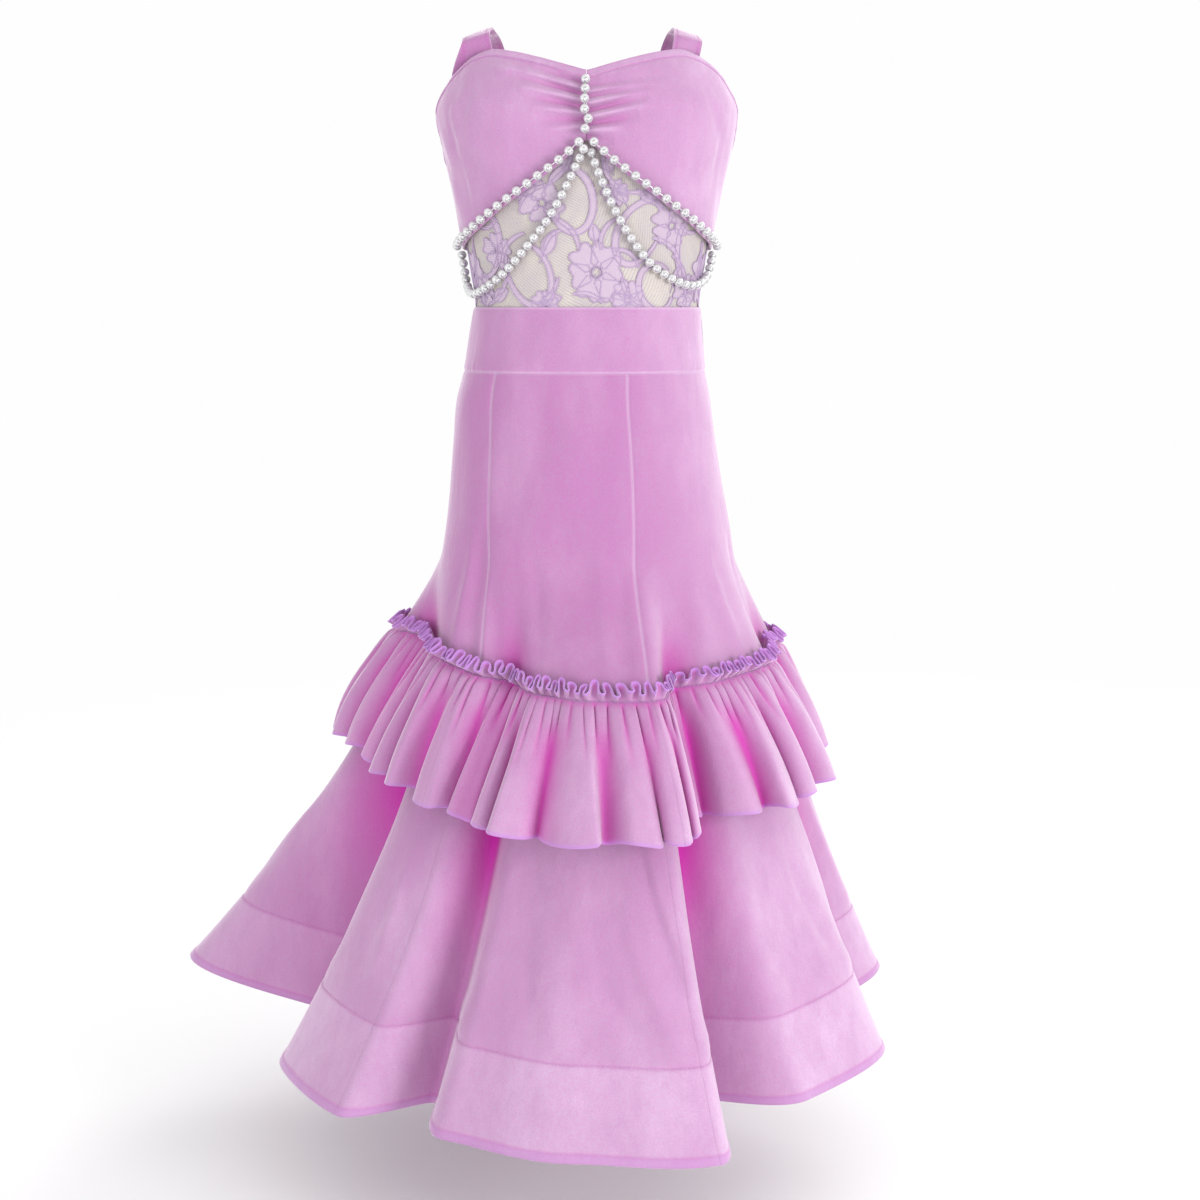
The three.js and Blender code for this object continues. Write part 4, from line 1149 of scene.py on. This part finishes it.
def leaf(fills, cords, run, z, size, width, turn):
    """A pointed leaf with a vein."""
    t = np.linspace(0, 1, 25)
    edge = width * np.sin(np.pi * t) ** 0.8 * (1.15 - 0.4 * t)
    px, py = turned(size * (np.append(t, t[-2:0:-1]) - 0.5), np.append(edge, -edge[-2:0:-1]), turn)
    fills.append(patch((run + px)[::-1], (z + py)[::-1], run, z))
    cords.extend(cords_in_view(run + np.append(px, px[0]), z + np.append(py, py[0])))
    vx, vy = turned(size * np.linspace(-0.8, 0.3, 20), 0.6 * np.sin(np.linspace(0, 3, 20)), turn)
    cords.extend(cords_in_view(run + vx, z + vy))


def lace_motifs():
    fills, cords = [], []
    for motif, rows in ((oval_band, OVALS), (stem, STEMS), (flower, FLOWERS), (leaf, LEAVES)):
        for row in rows_of(rows):
            motif(fills, cords, **row)
    finish_piece(make("lace_filling", *join(fills)), filling, "lace_lavender")
    finish_piece(make("lace_cords", *join(cords)), lace_cord, "lace_lavender")


lace_motifs()

# ---------------------------------------------------------------- waistband
WAISTBAND_WALL = 1.5
WAIST_WAVES = ((96, 150, 0.8, 0.5), (61, -90, 2.4, 0.3), (37, 210, 1.1, 0.18))
WAIST_PUCKER = ((8.1, LEVEL, 0.2, 0.16), (13.7, LEVEL, 1.2, 0.18))
# Shares of paler colour all over, of painted highlight along the ridge of the lower seam, and of paler
# colour along the top edge.
WAIST_TONE = {"all": 0.1, "lower_seam": 0.34, "upper_edge": 0.3}


def waistband(half, middle):
    """A band round the waist whose edges roll in a little, with slow waves along it."""
    columns, rows = 116, 32
    share = np.sin(np.linspace(-np.pi / 2, np.pi / 2, rows)) * 0.5 + 0.5
    reach = 90 - SEAM_DEG
    deg = np.linspace(middle - reach, middle + reach, columns)[None] + np.zeros((rows, 1))
    z = mix(WAIST_TOP, WAIST_SEAM, share)[:, None] + 0 * deg
    at, out = section(HIPS, deg, z)
    at[..., 0] += read(HIPS, "z", "shift", z)
    run = lengths(at, 1)
    over_seam, under_top = z - WAIST_SEAM, WAIST_TOP - z
    lift = -0.8 * bell(over_seam / 1.6) - 0.35 * bell(under_top / 1.5)
    lift = lift + ripples(run, z, *WAIST_WAVES) * np.clip(under_top / 6, 0, 1)
    lift = lift + ripples(run, 0 * z, *WAIST_PUCKER) * bell(over_seam / 9)
    at = at + out * lift[..., None]
    # Painted highlight along the lower seam's ridge, and a paler line along the top edge.
    seam = WAIST_TONE["lower_seam"] * bell(over_seam / 0.9)
    seam = seam + WAIST_TONE["upper_edge"] * bell(under_top / 1.1)
    piece = shell(f"waistband_{half}_cloth", at, WAISTBAND_WALL, out, WAIST_TONE["all"], seam=seam)
    finish_piece(piece, velvet, "velvet_lilac", f"waistband_{half}")
    cut()


waistband("front", 0)
waistband("back", 180)


# ---------------------------------------------------------------- skirt
def fold_angle(u, a, b, t):
    """Degrees of the point u folds round, between two columns of the fold table."""
    k = np.floor(u).astype(int)

    def row(n):
        return mix(FOLDS[a][n % FOLD_COUNT], FOLDS[b][n % FOLD_COUNT], t) + 360 * (n // FOLD_COUNT)

    return mix(row(k), row(k + 1), u - k)


def fold_value(u, column):
    """One column read round the skirt, with broad crests and narrow valleys."""
    k = np.floor(u).astype(int)
    f = u - k
    crest, values = FOLDS["crest"], FOLDS[column]
    a, b = k % FOLD_COUNT, (k + 1) % FOLD_COUNT
    even = 0.5 - 0.5 * np.cos(np.pi * f)
    falling = 0.5 - 0.5 * np.cos(np.pi * f**CREST_FULLNESS)
    rising = 0.5 + 0.5 * np.cos(np.pi * (1 - f) ** CREST_FULLNESS)
    t = np.where(crest[a] > crest[b], falling, np.where(crest[a] < crest[b], rising, even))
    return mix(values[a], values[b], t)


def line_level(deg):
    aside = np.sin(deg * RAD)
    rise = np.where(aside < 0, LINE_LEVEL["right"], LINE_LEVEL["left"])
    return LINE_LEVEL["front"] + rise * aside**2


def hip_radius(deg, z):
    """Radius of the squared ellipse of the hips at an angle."""
    half = read(HIPS, "z", "half", z)
    c = np.cos(deg * RAD)
    depth = np.where(c >= 0, read(HIPS, "z", "front", z), read(HIPS, "z", "back", z))
    power = 2 / SQUARENESS
    s = np.abs(np.sin(deg * RAD)) / half
    return 1 / (s**power + (np.abs(c) / depth) ** power) ** (1 / power)


def skirt_point(u, level):
    """Outer face of the skirt. level runs 0 to 1 from the waist seam to the gathering line, then to 2 at
    the hem. The hips widen into the flare as a power of the drop, and the flare into the hem likewise."""
    u, level = np.broadcast_arrays(np.asarray(u, float), np.asarray(level, float))
    upper, lower = np.minimum(level, 1), np.maximum(level - 1, 0)
    over = fold_angle(u, "waist", "line", upper**2)
    under = fold_angle(u, "line", "hem", lower)
    deg = np.where(level <= 1, over, under)
    line = line_level(deg)
    z = np.where(level <= 1, mix(WAIST_SEAM - SEAM_GAP, line, upper),
                 mix(line, HEM_LEVEL + fold_value(u, "lift"), lower))
    flare = np.clip((FLARE_START - z) / (FLARE_START - line), 0, 1) ** FLARE_POWER
    line_radius = fold_value(u, "lineR")
    hips = mix(hip_radius(deg, np.maximum(z, -560)), line_radius, flare)
    radius = np.where(level <= 1, hips, mix(line_radius, fold_value(u, "hemR"), lower**TRUMPET_POWER))
    x = radius * np.sin(deg * RAD) + read(HIPS, "z", "shift", z)
    return np.stack([x, -radius * np.cos(deg * RAD), z], -1)


def skirt_across(u, level, step):
    """Way along the face at one level, over a step of folds to either side."""
    return skirt_point(u + step, level) - skirt_point(u - step, level)


def skirt_normal(u, level, step=0.02):
    """True normal of that face, the same from either side of a seam."""
    down = skirt_point(u, np.minimum(2, level + step)) - skirt_point(u, np.maximum(0, level - step))
    return unit(np.cross(down, skirt_across(u, level, step)))


def part_at_seams(at, out):
    """Draws the first and the last column of a grid back from the seams that they lie on."""
    level_way = unit(np.stack([-out[..., 1], out[..., 0], 0 * out[..., 0]], -1))
    at[:, 0] += level_way[:, 0] * SEAM_STEP
    at[:, -1] -= level_way[:, -1] * SEAM_STEP


HEM = {"band": 66.0, "lip": 5.0, "proud": 0.9, "wall": 2.4, "lip_proud": 0.7}
BAND_LEVEL = 2 - HEM["band"] / LOWER_SKIRT
LIP_LEVEL = 2 - HEM["lip"] / LOWER_SKIRT
SKIRT_LEVELS = np.concatenate([
    [0, 0.004, 0.009, 0.016, 0.028, 0.045],
    np.linspace(0.07, 1.62, 46),
    np.linspace(1.645, BAND_LEVEL - 0.022, 8),
    BAND_LEVEL + np.array([-0.015, -0.010, -0.006, -0.003, 0, 0.003, 0.007, 0.012, 0.02]),
    np.linspace(BAND_LEVEL + 0.04, LIP_LEVEL - 0.012, 6),
    LIP_LEVEL + np.array([-0.006, -0.002, 0.001, 0.004, 0.008]),
    [1.996, 2.0],
])
# Soft folds in the skirt: from u folds round and level to u and level, with half width and height.
SKIRT_FOLDS = table(
    "u0 level0 u1 level1 width height",
    (6.3, 0.62, 6, 1, 7, 3.2),
    (6.75, 0.55, 6.6, 1, 8, -3.5),
    (7.35, 0.72, 7.5, 1.02, 8, -2.6),
    (7, 0.7, 7.02, 1, 5, 1.8),
    (8.6, 0.62, 8.9, 1, 9, -3),
    (10.2, 0.6, 10.3, 1, 8, 2),
    (10.7, 0.66, 10.6, 1, 7, -2.2),
    (12.5, 0.58, 12.6, 1, 10, -3),
    (13.4, 0.62, 13.6, 1, 7, 2.6),
    (14.4, 0.6, 14.6, 1, 8, -2.6),
    (2.4, 0.62, 2.5, 1, 9, -2.8),
    (0.6, 0.66, 0.5, 1, 8, 2.4),
    (16.5, 0.6, 16.6, 1, 9, -2.8),
    (18.4, 0.64, 18.5, 1, 8, 2.2),
    (10.62, 1.3, 11.05, 1.74, 6, -3),
    (10.75, 1.34, 11.12, 1.7, 4, 2.2),
    (10.45, 1.5, 10.9, 1.8, 7, 2.4),
    (10.1, 1.6, 10.6, 1.79, 8, -1.8),
    (9.3, 1.55, 9.6, 1.79, 10, -1.4),
    (5.2, 1.4, 5.5, 1.78, 10, -2),
    (6.5, 1.45, 6.7, 1.77, 9, 1.8),
    (4.2, 1.5, 3.9, 1.78, 10, 2.2),
    (3.4, 1.45, 3.6, 1.76, 9, -2.2),
    (13.6, 1.42, 13.9, 1.78, 8, -2.6),
    (14.2, 1.36, 14.5, 1.74, 8, 2.2),
    (14.7, 1.5, 14.9, 1.78, 7, -2),
    (15.6, 1.45, 15.7, 1.76, 7, 2),
    (16.4, 1.5, 16.2, 1.78, 10, -2),
    (0.9, 1.42, 1.2, 1.78, 9, -2.2),
    (1.5, 1.5, 1.7, 1.77, 8, 1.8),
    (17.9, 1.45, 18.2, 1.78, 9, -2),
    (12, 1.4, 12.1, 1.76, 9, 1.6),
)
STANDING = {"below": 1.1, "height": 1.5}  # folds that end below this level stand out more
SKIRT_FOLDS["height"] = np.where(
    SKIRT_FOLDS["level1"] > STANDING["below"],
    grown(SKIRT_FOLDS["height"], STANDING["height"]),
    SKIRT_FOLDS["height"],
)
SEAM_FOLDS = np.flatnonzero(FOLDS["seam"] > 0)


def gore_range(n):
    """The gore from one seam fold to the next."""
    first, last = SEAM_FOLDS[n - 1], SEAM_FOLDS[n % len(SEAM_FOLDS)]
    return (first - FOLD_COUNT, last) if first > last else (first, last)


FOLD_WIDTH = 19.0  # that one u is taken as along the cloth, for the slow waves
SEAM_DIP = {"deep": 0.9, "narrow": 2.0, "shallow": 0.5, "broad": 5.0}
SEAM_CROWD = 0.018  # that the columns crowd towards the seams
STITCH_DIP = {"band": 0.6, "waist": 0.8}
# Shares of painted shade at the two sewn lines of the hem, of painted highlight on crests, of paler colour
# in the hem band and along the seams, of painted highlight on the waist seam's ridge, and of painted shade
# on the lip, which faces down.
SKIRT_TONE = {"band_line": 0.13, "lip_line": 0.2, "crest": 0.28, "band": 0.24, "seam": 0.4, "waist": 0.35,
              "lip": 0.55}
SKIRT_WAVES = ((97, 260, 0.5, 0.7), (41, 170, 2.2, 0.45), (23, -310, 4.1, 0.25))
SWELL = {"height": 1.6, "above": 0.035, "spread": 0.03}


def skirt_relief(u, level, at):
    """What the plain face gets on top: soft folds, slow waves, and the swell above the hem's stitches."""
    lift = np.zeros(u.shape)
    for row in rows_of(SKIRT_FOLDS):
        route_u = np.linspace(row["u0"], row["u1"], 26)
        if u.min() < 0 and row["u0"] > u.max() + 2:
            route_u = route_u - FOLD_COUNT
        if route_u.min() > u.max() + 1 or route_u.max() < u.min() - 1:
            continue
        route = skirt_point(route_u, np.linspace(row["level0"], row["level1"], 26))
        lift += crease(at, route, row["width"], row["height"])
    lift += ripples(FOLD_WIDTH * u, LOWER_SKIRT * level, *SKIRT_WAVES)
    lift *= ease(0.0, 0.12, level) * (1 - ease(BAND_LEVEL - 0.03, BAND_LEVEL, level))
    swell = SWELL["height"] * bell((level - BAND_LEVEL + SWELL["above"]) / SWELL["spread"])
    return lift + swell * (0.7 + 0.3 * np.sin(2.3 * u + 0.5)) * (level < BAND_LEVEL)


def gore(n):
    """One gore, with its seams drawn in and its hem folded up over a stiff braid."""
    name = f"skirt_{GORES[n]}"
    first, last = gore_range(n)
    even = np.linspace(0, 1, 26 * (last - first) + 1)
    share = even - SEAM_CROWD * np.sin(2 * np.pi * even)
    level, u = np.meshgrid(SKIRT_LEVELS, mix(first, last, share), indexing="ij")
    at, out = skirt_point(u, level), skirt_normal(u, level)
    run = lengths(at, 1)
    edge = np.minimum(run, run[:, -1:] - run)
    from_band = level - BAND_LEVEL
    in_band = ease(-0.003, 0.004, from_band)
    in_lip = ease(LIP_LEVEL - 0.002, LIP_LEVEL + 0.002, level)
    sunk = 1 - 0.7 * ease(1.0, 1.3, level)
    lift = skirt_relief(u, level, at)
    deep = SEAM_DIP["deep"] * bell(edge / SEAM_DIP["narrow"])
    shallow = SEAM_DIP["shallow"] * bell(edge / SEAM_DIP["broad"])
    lift = lift - sunk * (deep * (1 - in_lip) + shallow)
    lift = lift + HEM["proud"] * in_band + HEM["lip_proud"] * in_lip
    lift = lift - STITCH_DIP["band"] * bell(from_band / 0.0035) - STITCH_DIP["waist"] * bell(level / 0.006)
    wall = VELVET + in_band * (HEM["wall"] - VELVET) + HEM["lip_proud"] * in_lip
    at = at + out * lift[..., None]
    part_at_seams(at, out)
    # Painted shade deep in the folds under the frill, at the hem's two sewn lines and on the
    # downward-facing lip.
    hollow = 1 - fold_value(u, "crest")
    valley = hollow**1.2 * ease(0.75, 1.12, level) * (1 - 0.84 * ease(1.28, 1.75, level))
    tone = SKIRT_TONE
    valley = valley + tone["band_line"] * bell(from_band / 0.004)
    valley = valley + tone["lip_line"] * bell((level - LIP_LEVEL) / 0.003)
    # Painted highlight on the lower crests and on the waist seam's ridge; paler colour in the hem band and
    # along the gore seams.
    pale_tone_and_painted_sheen = tone["crest"] * (1 - hollow) * ease(1.15, 1.6, level) + tone["band"] * in_band
    pale = tone["seam"] * bell((edge - 0.2) / 0.9) * (1 - ease(0.9, 1.5, level))
    pale = pale + tone["waist"] * bell(level / 0.004)
    piece = shell(f"{name}_cloth", at, wall, out, pale_tone_and_painted_sheen, valley=np.clip(valley, 0, 1), seam=pale,
                  lip=tone["lip"] * in_lip)
    finish_piece(piece, velvet, "velvet_lilac", name)
    cut(grid_area(at))
    line = int(np.argmin(np.abs(SKIRT_LEVELS - BAND_LEVEL)))
    sew(f"hem_stitches_{GORES[n]}", lilac_thread, "velvet_lilac", (at[line] + out[line] * 0.25, out[line]),
        pitch=3.4, radius=0.26)


for number in range(len(GORES)):
    gore(number)

# ---------------------------------------------------------------- frill
FRILL = {"drop": 100.0, "wall": 0.9, "pitch": 26.0, "low_wave": 10.5, "high_wave": 1.0, "clear": 1.6,
         "stand_off": 2.4, "grow": 0.85, "tuck": 0.72, "swing": 5.0, "dip": 2.4, "column": 0.68}
GATHER = {"height": 2.4, "pitch": 9.2}
HEADING = {"height": 14.5, "wave": 5.0, "lean": 4.8, "droop": 0.85, "loop": 0.85, "rise": 1.5}
BINDING = {"proud": 0.42, "wall": 0.8}  # of the thread over the frill's two edges
# Lowest and highest share or size from one fold, gather or loop to the next.
SPREAD = {"fold_width": (0.62, 1.5), "fold_size": (0.62, 1.3), "lean": (-0.5, 0.5), "second": (-1.2, 1.2),
          "gather_width": (0.6, 1.45), "gather_height": (0.5, 1.3), "gather_end": (0.24, 0.60),
          "curl": (0.6, 1.25), "bend": (-2.4, 2.4)}
FRILL_ROWS = np.concatenate([
    [-1, -0.98, -0.94, -0.88, -0.80, -0.68, -0.55, -0.42, -0.3, -0.18, -0.1, -0.05, 0],
    [0.01, 0.025, 0.045, 0.07, 0.10, 0.14, 0.19, 0.25, 0.32, 0.40, 0.49, 0.58, 0.67, 0.76, 0.85],
    [0.92, 0.96, 0.98, 0.99, 1],
])


def uneven(phase, low, high, seed):
    """A value that changes smoothly from one fold to the next, drawn once for each fold."""
    draw = np.random.default_rng(seed).uniform(low, high, 400)
    turn = phase / (2 * np.pi) + 5
    k = np.floor(turn).astype(int)
    t = 0.5 - 0.5 * np.cos(np.pi * (turn - k))
    return mix(draw[k], draw[k + 1], t)


def fold_phase(place, pitch, low, high, seed):
    """Phase that turns once for each fold, where the folds' widths lie between low and high of a pitch."""
    total = place.max()
    widths = np.random.default_rng(seed).uniform(low, high, round(total / pitch))
    marks = np.concatenate([[0], np.cumsum(widths)]) * total / widths.sum()
    return 2 * np.pi * np.interp(place, marks, np.arange(len(marks)))


def flute(phase, narrow=1.7):
    """A wave with broad crests and narrow valleys."""
    return 1 - 2 * ((1 - np.cos(phase)) / 2) ** narrow


def frill(n):
    """One strip of the frill. Uneven folds of the gathering line grow downwards, with broad crests and
    tucked valleys. Finer gathers fade out below the line, and above it the heading curls outwards."""
    name = f"frill_{GORES[n]}"
    first, last = gore_range(n)
    fine_u = np.linspace(first, last, 400 * (last - first) // 2)
    run = path_run(skirt_point(fine_u, 1.0))
    total = run[-1]
    places = np.linspace(0, total, int(total / FRILL["column"]))
    down, place = np.meshgrid(FRILL_ROWS, places, indexing="ij")
    depth, up = np.maximum(down, 0), np.maximum(-down, 0)
    seed = 40 + n
    inside = 1 - bell(place / 10) - bell((total - place) / 10)

    # the large folds
    phase = fold_phase(place, FRILL["pitch"], *SPREAD["fold_width"], seed)
    size = mix(1.0, uneven(phase, *SPREAD["fold_size"], seed + 10), inside)
    lean = uneven(phase, *SPREAD["lean"], seed + 20) * inside
    second = uneven(phase, *SPREAD["second"], seed + 50)
    grown = depth ** FRILL["grow"]
    wave = mix(FRILL["high_wave"], FRILL["low_wave"], grown) * size
    radial = wave * (flute(phase) + 0.12 * np.cos(2 * phase + second) * inside)
    sideways = FRILL["tuck"] * grown * np.sin(phase) * FRILL["pitch"] / (2 * np.pi)
    sideways = sideways + lean * wave * np.cos(phase)
    sideways = sideways + FRILL["swing"] * depth * inside * np.sin(place / 60 + 1.7 * n)

    # the gathers under the line, and the heading above it
    pleats = fold_phase(place, GATHER["pitch"], *SPREAD["gather_width"], seed + 100)
    height = GATHER["height"] * uneven(pleats, *SPREAD["gather_height"], seed + 130)
    ends = mix(*SPREAD["gather_end"], uneven(pleats, 0, 1, seed + 140))
    small = height * ease(-0.02, 0.05, depth) * (1 - ease(0.05, ends, depth)) * (up == 0)
    radial = radial + small * (flute(pleats) - 0.2)
    sideways = sideways + small * 0.6 * np.sin(pleats)
    loops = np.cos(pleats)
    curl = uneven(pleats, *SPREAD["curl"], seed + 160) * HEADING["wave"] * up ** FRILL["grow"] * loops
    overhang = HEADING["loop"] * np.sin(2 * pleats) * GATHER["pitch"] / (2 * np.pi)
    bend = uneven(pleats, *SPREAD["bend"], seed + 90) * loops
    join_line = bell(down / 0.03)
    radial = np.where(up > 0, curl, radial) * (1 - 0.55 * join_line)
    sideways = np.where(up > 0, up * (overhang + bend), sideways)

    # on to the skirt, clear of it
    at_ends = (1 - bell(place / 4)) * (1 - bell((total - place) / 4))
    u = np.interp(np.clip(place + sideways * at_ends, 0, total), run, fine_u)
    level = 1 + (depth * FRILL["drop"] - up * HEADING["height"]) / LOWER_SKIRT
    skirt, across = skirt_point(u, level), skirt_across(u, level, 0.04)
    out = unit(skirt * np.array([1.0, 1.0, 0.0]))
    square_on = np.hypot(across[..., 0] * out[..., 1], across[..., 1] * out[..., 0])
    steep = np.minimum(np.linalg.norm(across, axis=-1) / np.maximum(square_on, 1e-6), 2.5)
    room = mix(FRILL["stand_off"], FRILL["low_wave"], grown)
    room = np.where(up > 0, (HEADING["wave"] + HEADING["lean"]) * up, room)
    clear = (FRILL["wall"] + FRILL["clear"]) * steep + room
    hang = fold_value(u, "frillR") - FRILL["low_wave"] - np.linalg.norm(skirt[..., :2], axis=-1)
    at = skirt + out * (clear + np.maximum(0, hang) * grown + radial)[..., None]
    at[..., 2] += FRILL["dip"] * depth * np.cos(phase + second) * inside
    at[..., 2] -= HEADING["droop"] * curl - HEADING["rise"] * up * inside * np.cos(0.37 * pleats)
    part_at_seams(at, out)
    normals = grid_normals(at)
    bound = ease(0.84, 0.93, up) + 0.5 * ease(0.968, 0.982, depth)
    at = at + normals * (BINDING["proud"] * bound)[..., None]

    # colour: painted shade in the tucked valleys, the pinched gathers and loops, over the skirt's hollows
    # and along the gathering line; painted highlight on the crests lower down, paler towards the heading's
    # top, and violet thread over the bound edges
    tucked, pinched = ((1 - np.cos(phase)) / 2) ** 2.0, ((1 - loops) / 2) ** 2.2
    valley = 0.6 * tucked * ease(0.05, 0.4, depth) * size + 0.6 * pinched * small / GATHER["height"]
    valley = valley + 0.3 * (1 - fold_value(u, "crest")) ** 3 * (up == 0)
    valley = valley + 0.3 * join_line + 0.55 * up * pinched
    thread = 0.8 * ease(0.84, 0.90, up) + 0.12 * up**0.5 + 0.6 * ease(0.976, 0.986, depth)
    # Painted highlight on the crests lower down, and paler towards the heading's top.
    pale_tone_and_painted_sheen = 0.12 + 0.22 * (1 - tucked) * depth + 0.15 * up
    piece = shell(f"{name}_cloth", at, FRILL["wall"] + BINDING["wall"] * bound, normals, pale_tone_and_painted_sheen,
                  valley=np.clip(valley, 0, 1), overlock=np.clip(thread, 0, 1))
    finish_piece(piece, velvet, "velvet_lilac", name)
    cut()
    row = int(np.argmin(np.abs(FRILL_ROWS)))
    sew(f"gathering_stitches_{GORES[n]}", violet_thread, "velvet_lilac",
        (at[row] + normals[row] * 0.1, normals[row]), pitch=3.2, radius=0.26)


for number in range(len(GORES)):
    frill(number)

# ---------------------------------------------------------------- pearls
PEARL = {"radius": 3.9, "thread": 0.45, "edge_pitch": 10.9, "string_pitch": 8.5, "rings": 13, "sides": 20}
PEARL_OFF = PEARL["radius"] + SEAM_GAP + 0.45
SUNK = 0.4  # how far the centre row sinks between the gathers' crests
SWAGS = {
    "right": table("x off z", (-2.2, 11.6, -106), (-8.5, 4.8, -118.5), (-19.7, 4.6, -141.6),
                   (-33, 4.6, -164.3), (-49.4, 4.6, -185), (-66, 4.6, -203.9), (-80, 4.6, -215.3),
                   (-90.5, 4.8, -221), (-95.5, 5.2, -219), (-98.2, 6.2, -210), (-99.6, 6, -200),
                   (-101.8, 6, -188)),
    "left": table("x off z", (3.8, 4.8, -108.2), (8.8, 4.6, -122.2), (21.8, 4.6, -152.2),
                  (38, 4.6, -180.2), (52, 4.6, -197.5), (70, 4.6, -210), (83, 4.7, -214.2),
                  (92, 5, -212), (97.3, 5.5, -205.5), (100, 6, -196), (101.8, 6, -188)),
}
EDGE_STOPS = np.array([2, 8, 14, 21, 28, 35, 42, 50, 58, 67, 77, 86.0])
CENTRE_PEARLS = table("x z", (-0.7, -50.5), (-1, -58.6), (-1.5, -66.4), (-1.5, -74.2), (1.5, -82),
                      (-1.2, -90))
FORWARD = np.array([0.0, 1.0, 0.0])
# Each pearl gets a painted dark reflection of the darker part of the room, which lies this way.
DULL_SIDE = unit(np.array([0.16, -0.94, -0.30]))  # where each pearl mirrors the darker part of the room


def pearl_string(name, points, pitch=None, count=None):
    """Round pearls evenly spaced on a thread."""
    path, way = even_path(points, pitch=pitch, count=count)
    turn = np.linspace(0, np.pi, PEARL["rings"] + 2)[1:-1, None, None]
    ring = circles(*across_frames(way, FORWARD), PEARL["sides"])[:, None]
    facing = np.sin(turn) * ring - np.cos(turn) * way[:, None, None]
    rings = path[:, None, None] + PEARL["radius"] * facing
    # Painted reflection: a small dark spot where a pearl faces the darker part of the room, and greyer
    # colour on its far side.
    toward = (facing * DULL_SIDE).sum(axis=-1)
    dull = 0.85 * bell((toward - 0.90) / 0.065) + 0.35 * ease(0.55, -0.2, toward)
    dull = np.pad(dull.reshape(len(path), -1), [(0, 0), (0, 2)]).ravel()
    thread = tube(even_path(points, pitch=1.5)[0], FORWARD, PEARL["thread"])
    dull = np.append(dull, np.zeros(len(thread[0])))
    piece = make(f"{name}_string", *join([rings_mesh(rings), thread]), smooth_below=70, dull=dull)
    finish_piece(piece, pearl, "pearl_white", name)


def centre_pearls():
    x, z = CENTRE_PEARLS["x"], CENTRE_PEARLS["z"]
    at, _ = solid_bodice(0 * z, z)
    pearl_string("pearls_centre", np.stack([x, at[:, 1] - PEARL_OFF + SUNK, z], -1), count=len(z))


def edge_pearls(side_name, side):
    z = read(LOWER_EDGE, "deg", "z", EDGE_STOPS) + 2
    at, out = solid_bodice(side * EDGE_STOPS, z)
    pearl_string(f"pearls_edge_{side_name}", at + out * PEARL_OFF, PEARL["edge_pitch"])


def swag_pearls(side_name):
    rows = SWAGS[side_name]
    deg = side_degrees(MIDRIFF, rows["x"], rows["z"])
    at, out = section(MIDRIFF, deg, rows["z"])
    pearl_string(f"pearls_swag_{side_name}", at + out * rows["off"][:, None], PEARL["string_pitch"])


centre_pearls()
for pearl_side, sign in (("right", -1), ("left", 1)):
    edge_pearls(pearl_side, sign)
    swag_pearls(pearl_side)

# ---------------------------------------------------------------- floor
bpy.ops.mesh.primitive_circle_add(vertices=96, radius=3.0, fill_type="NGON", location=(0, 0, FLOOR_LEVEL))
floor = bpy.context.object
floor.name = "floor"
floor.data.materials.append(floor_material())
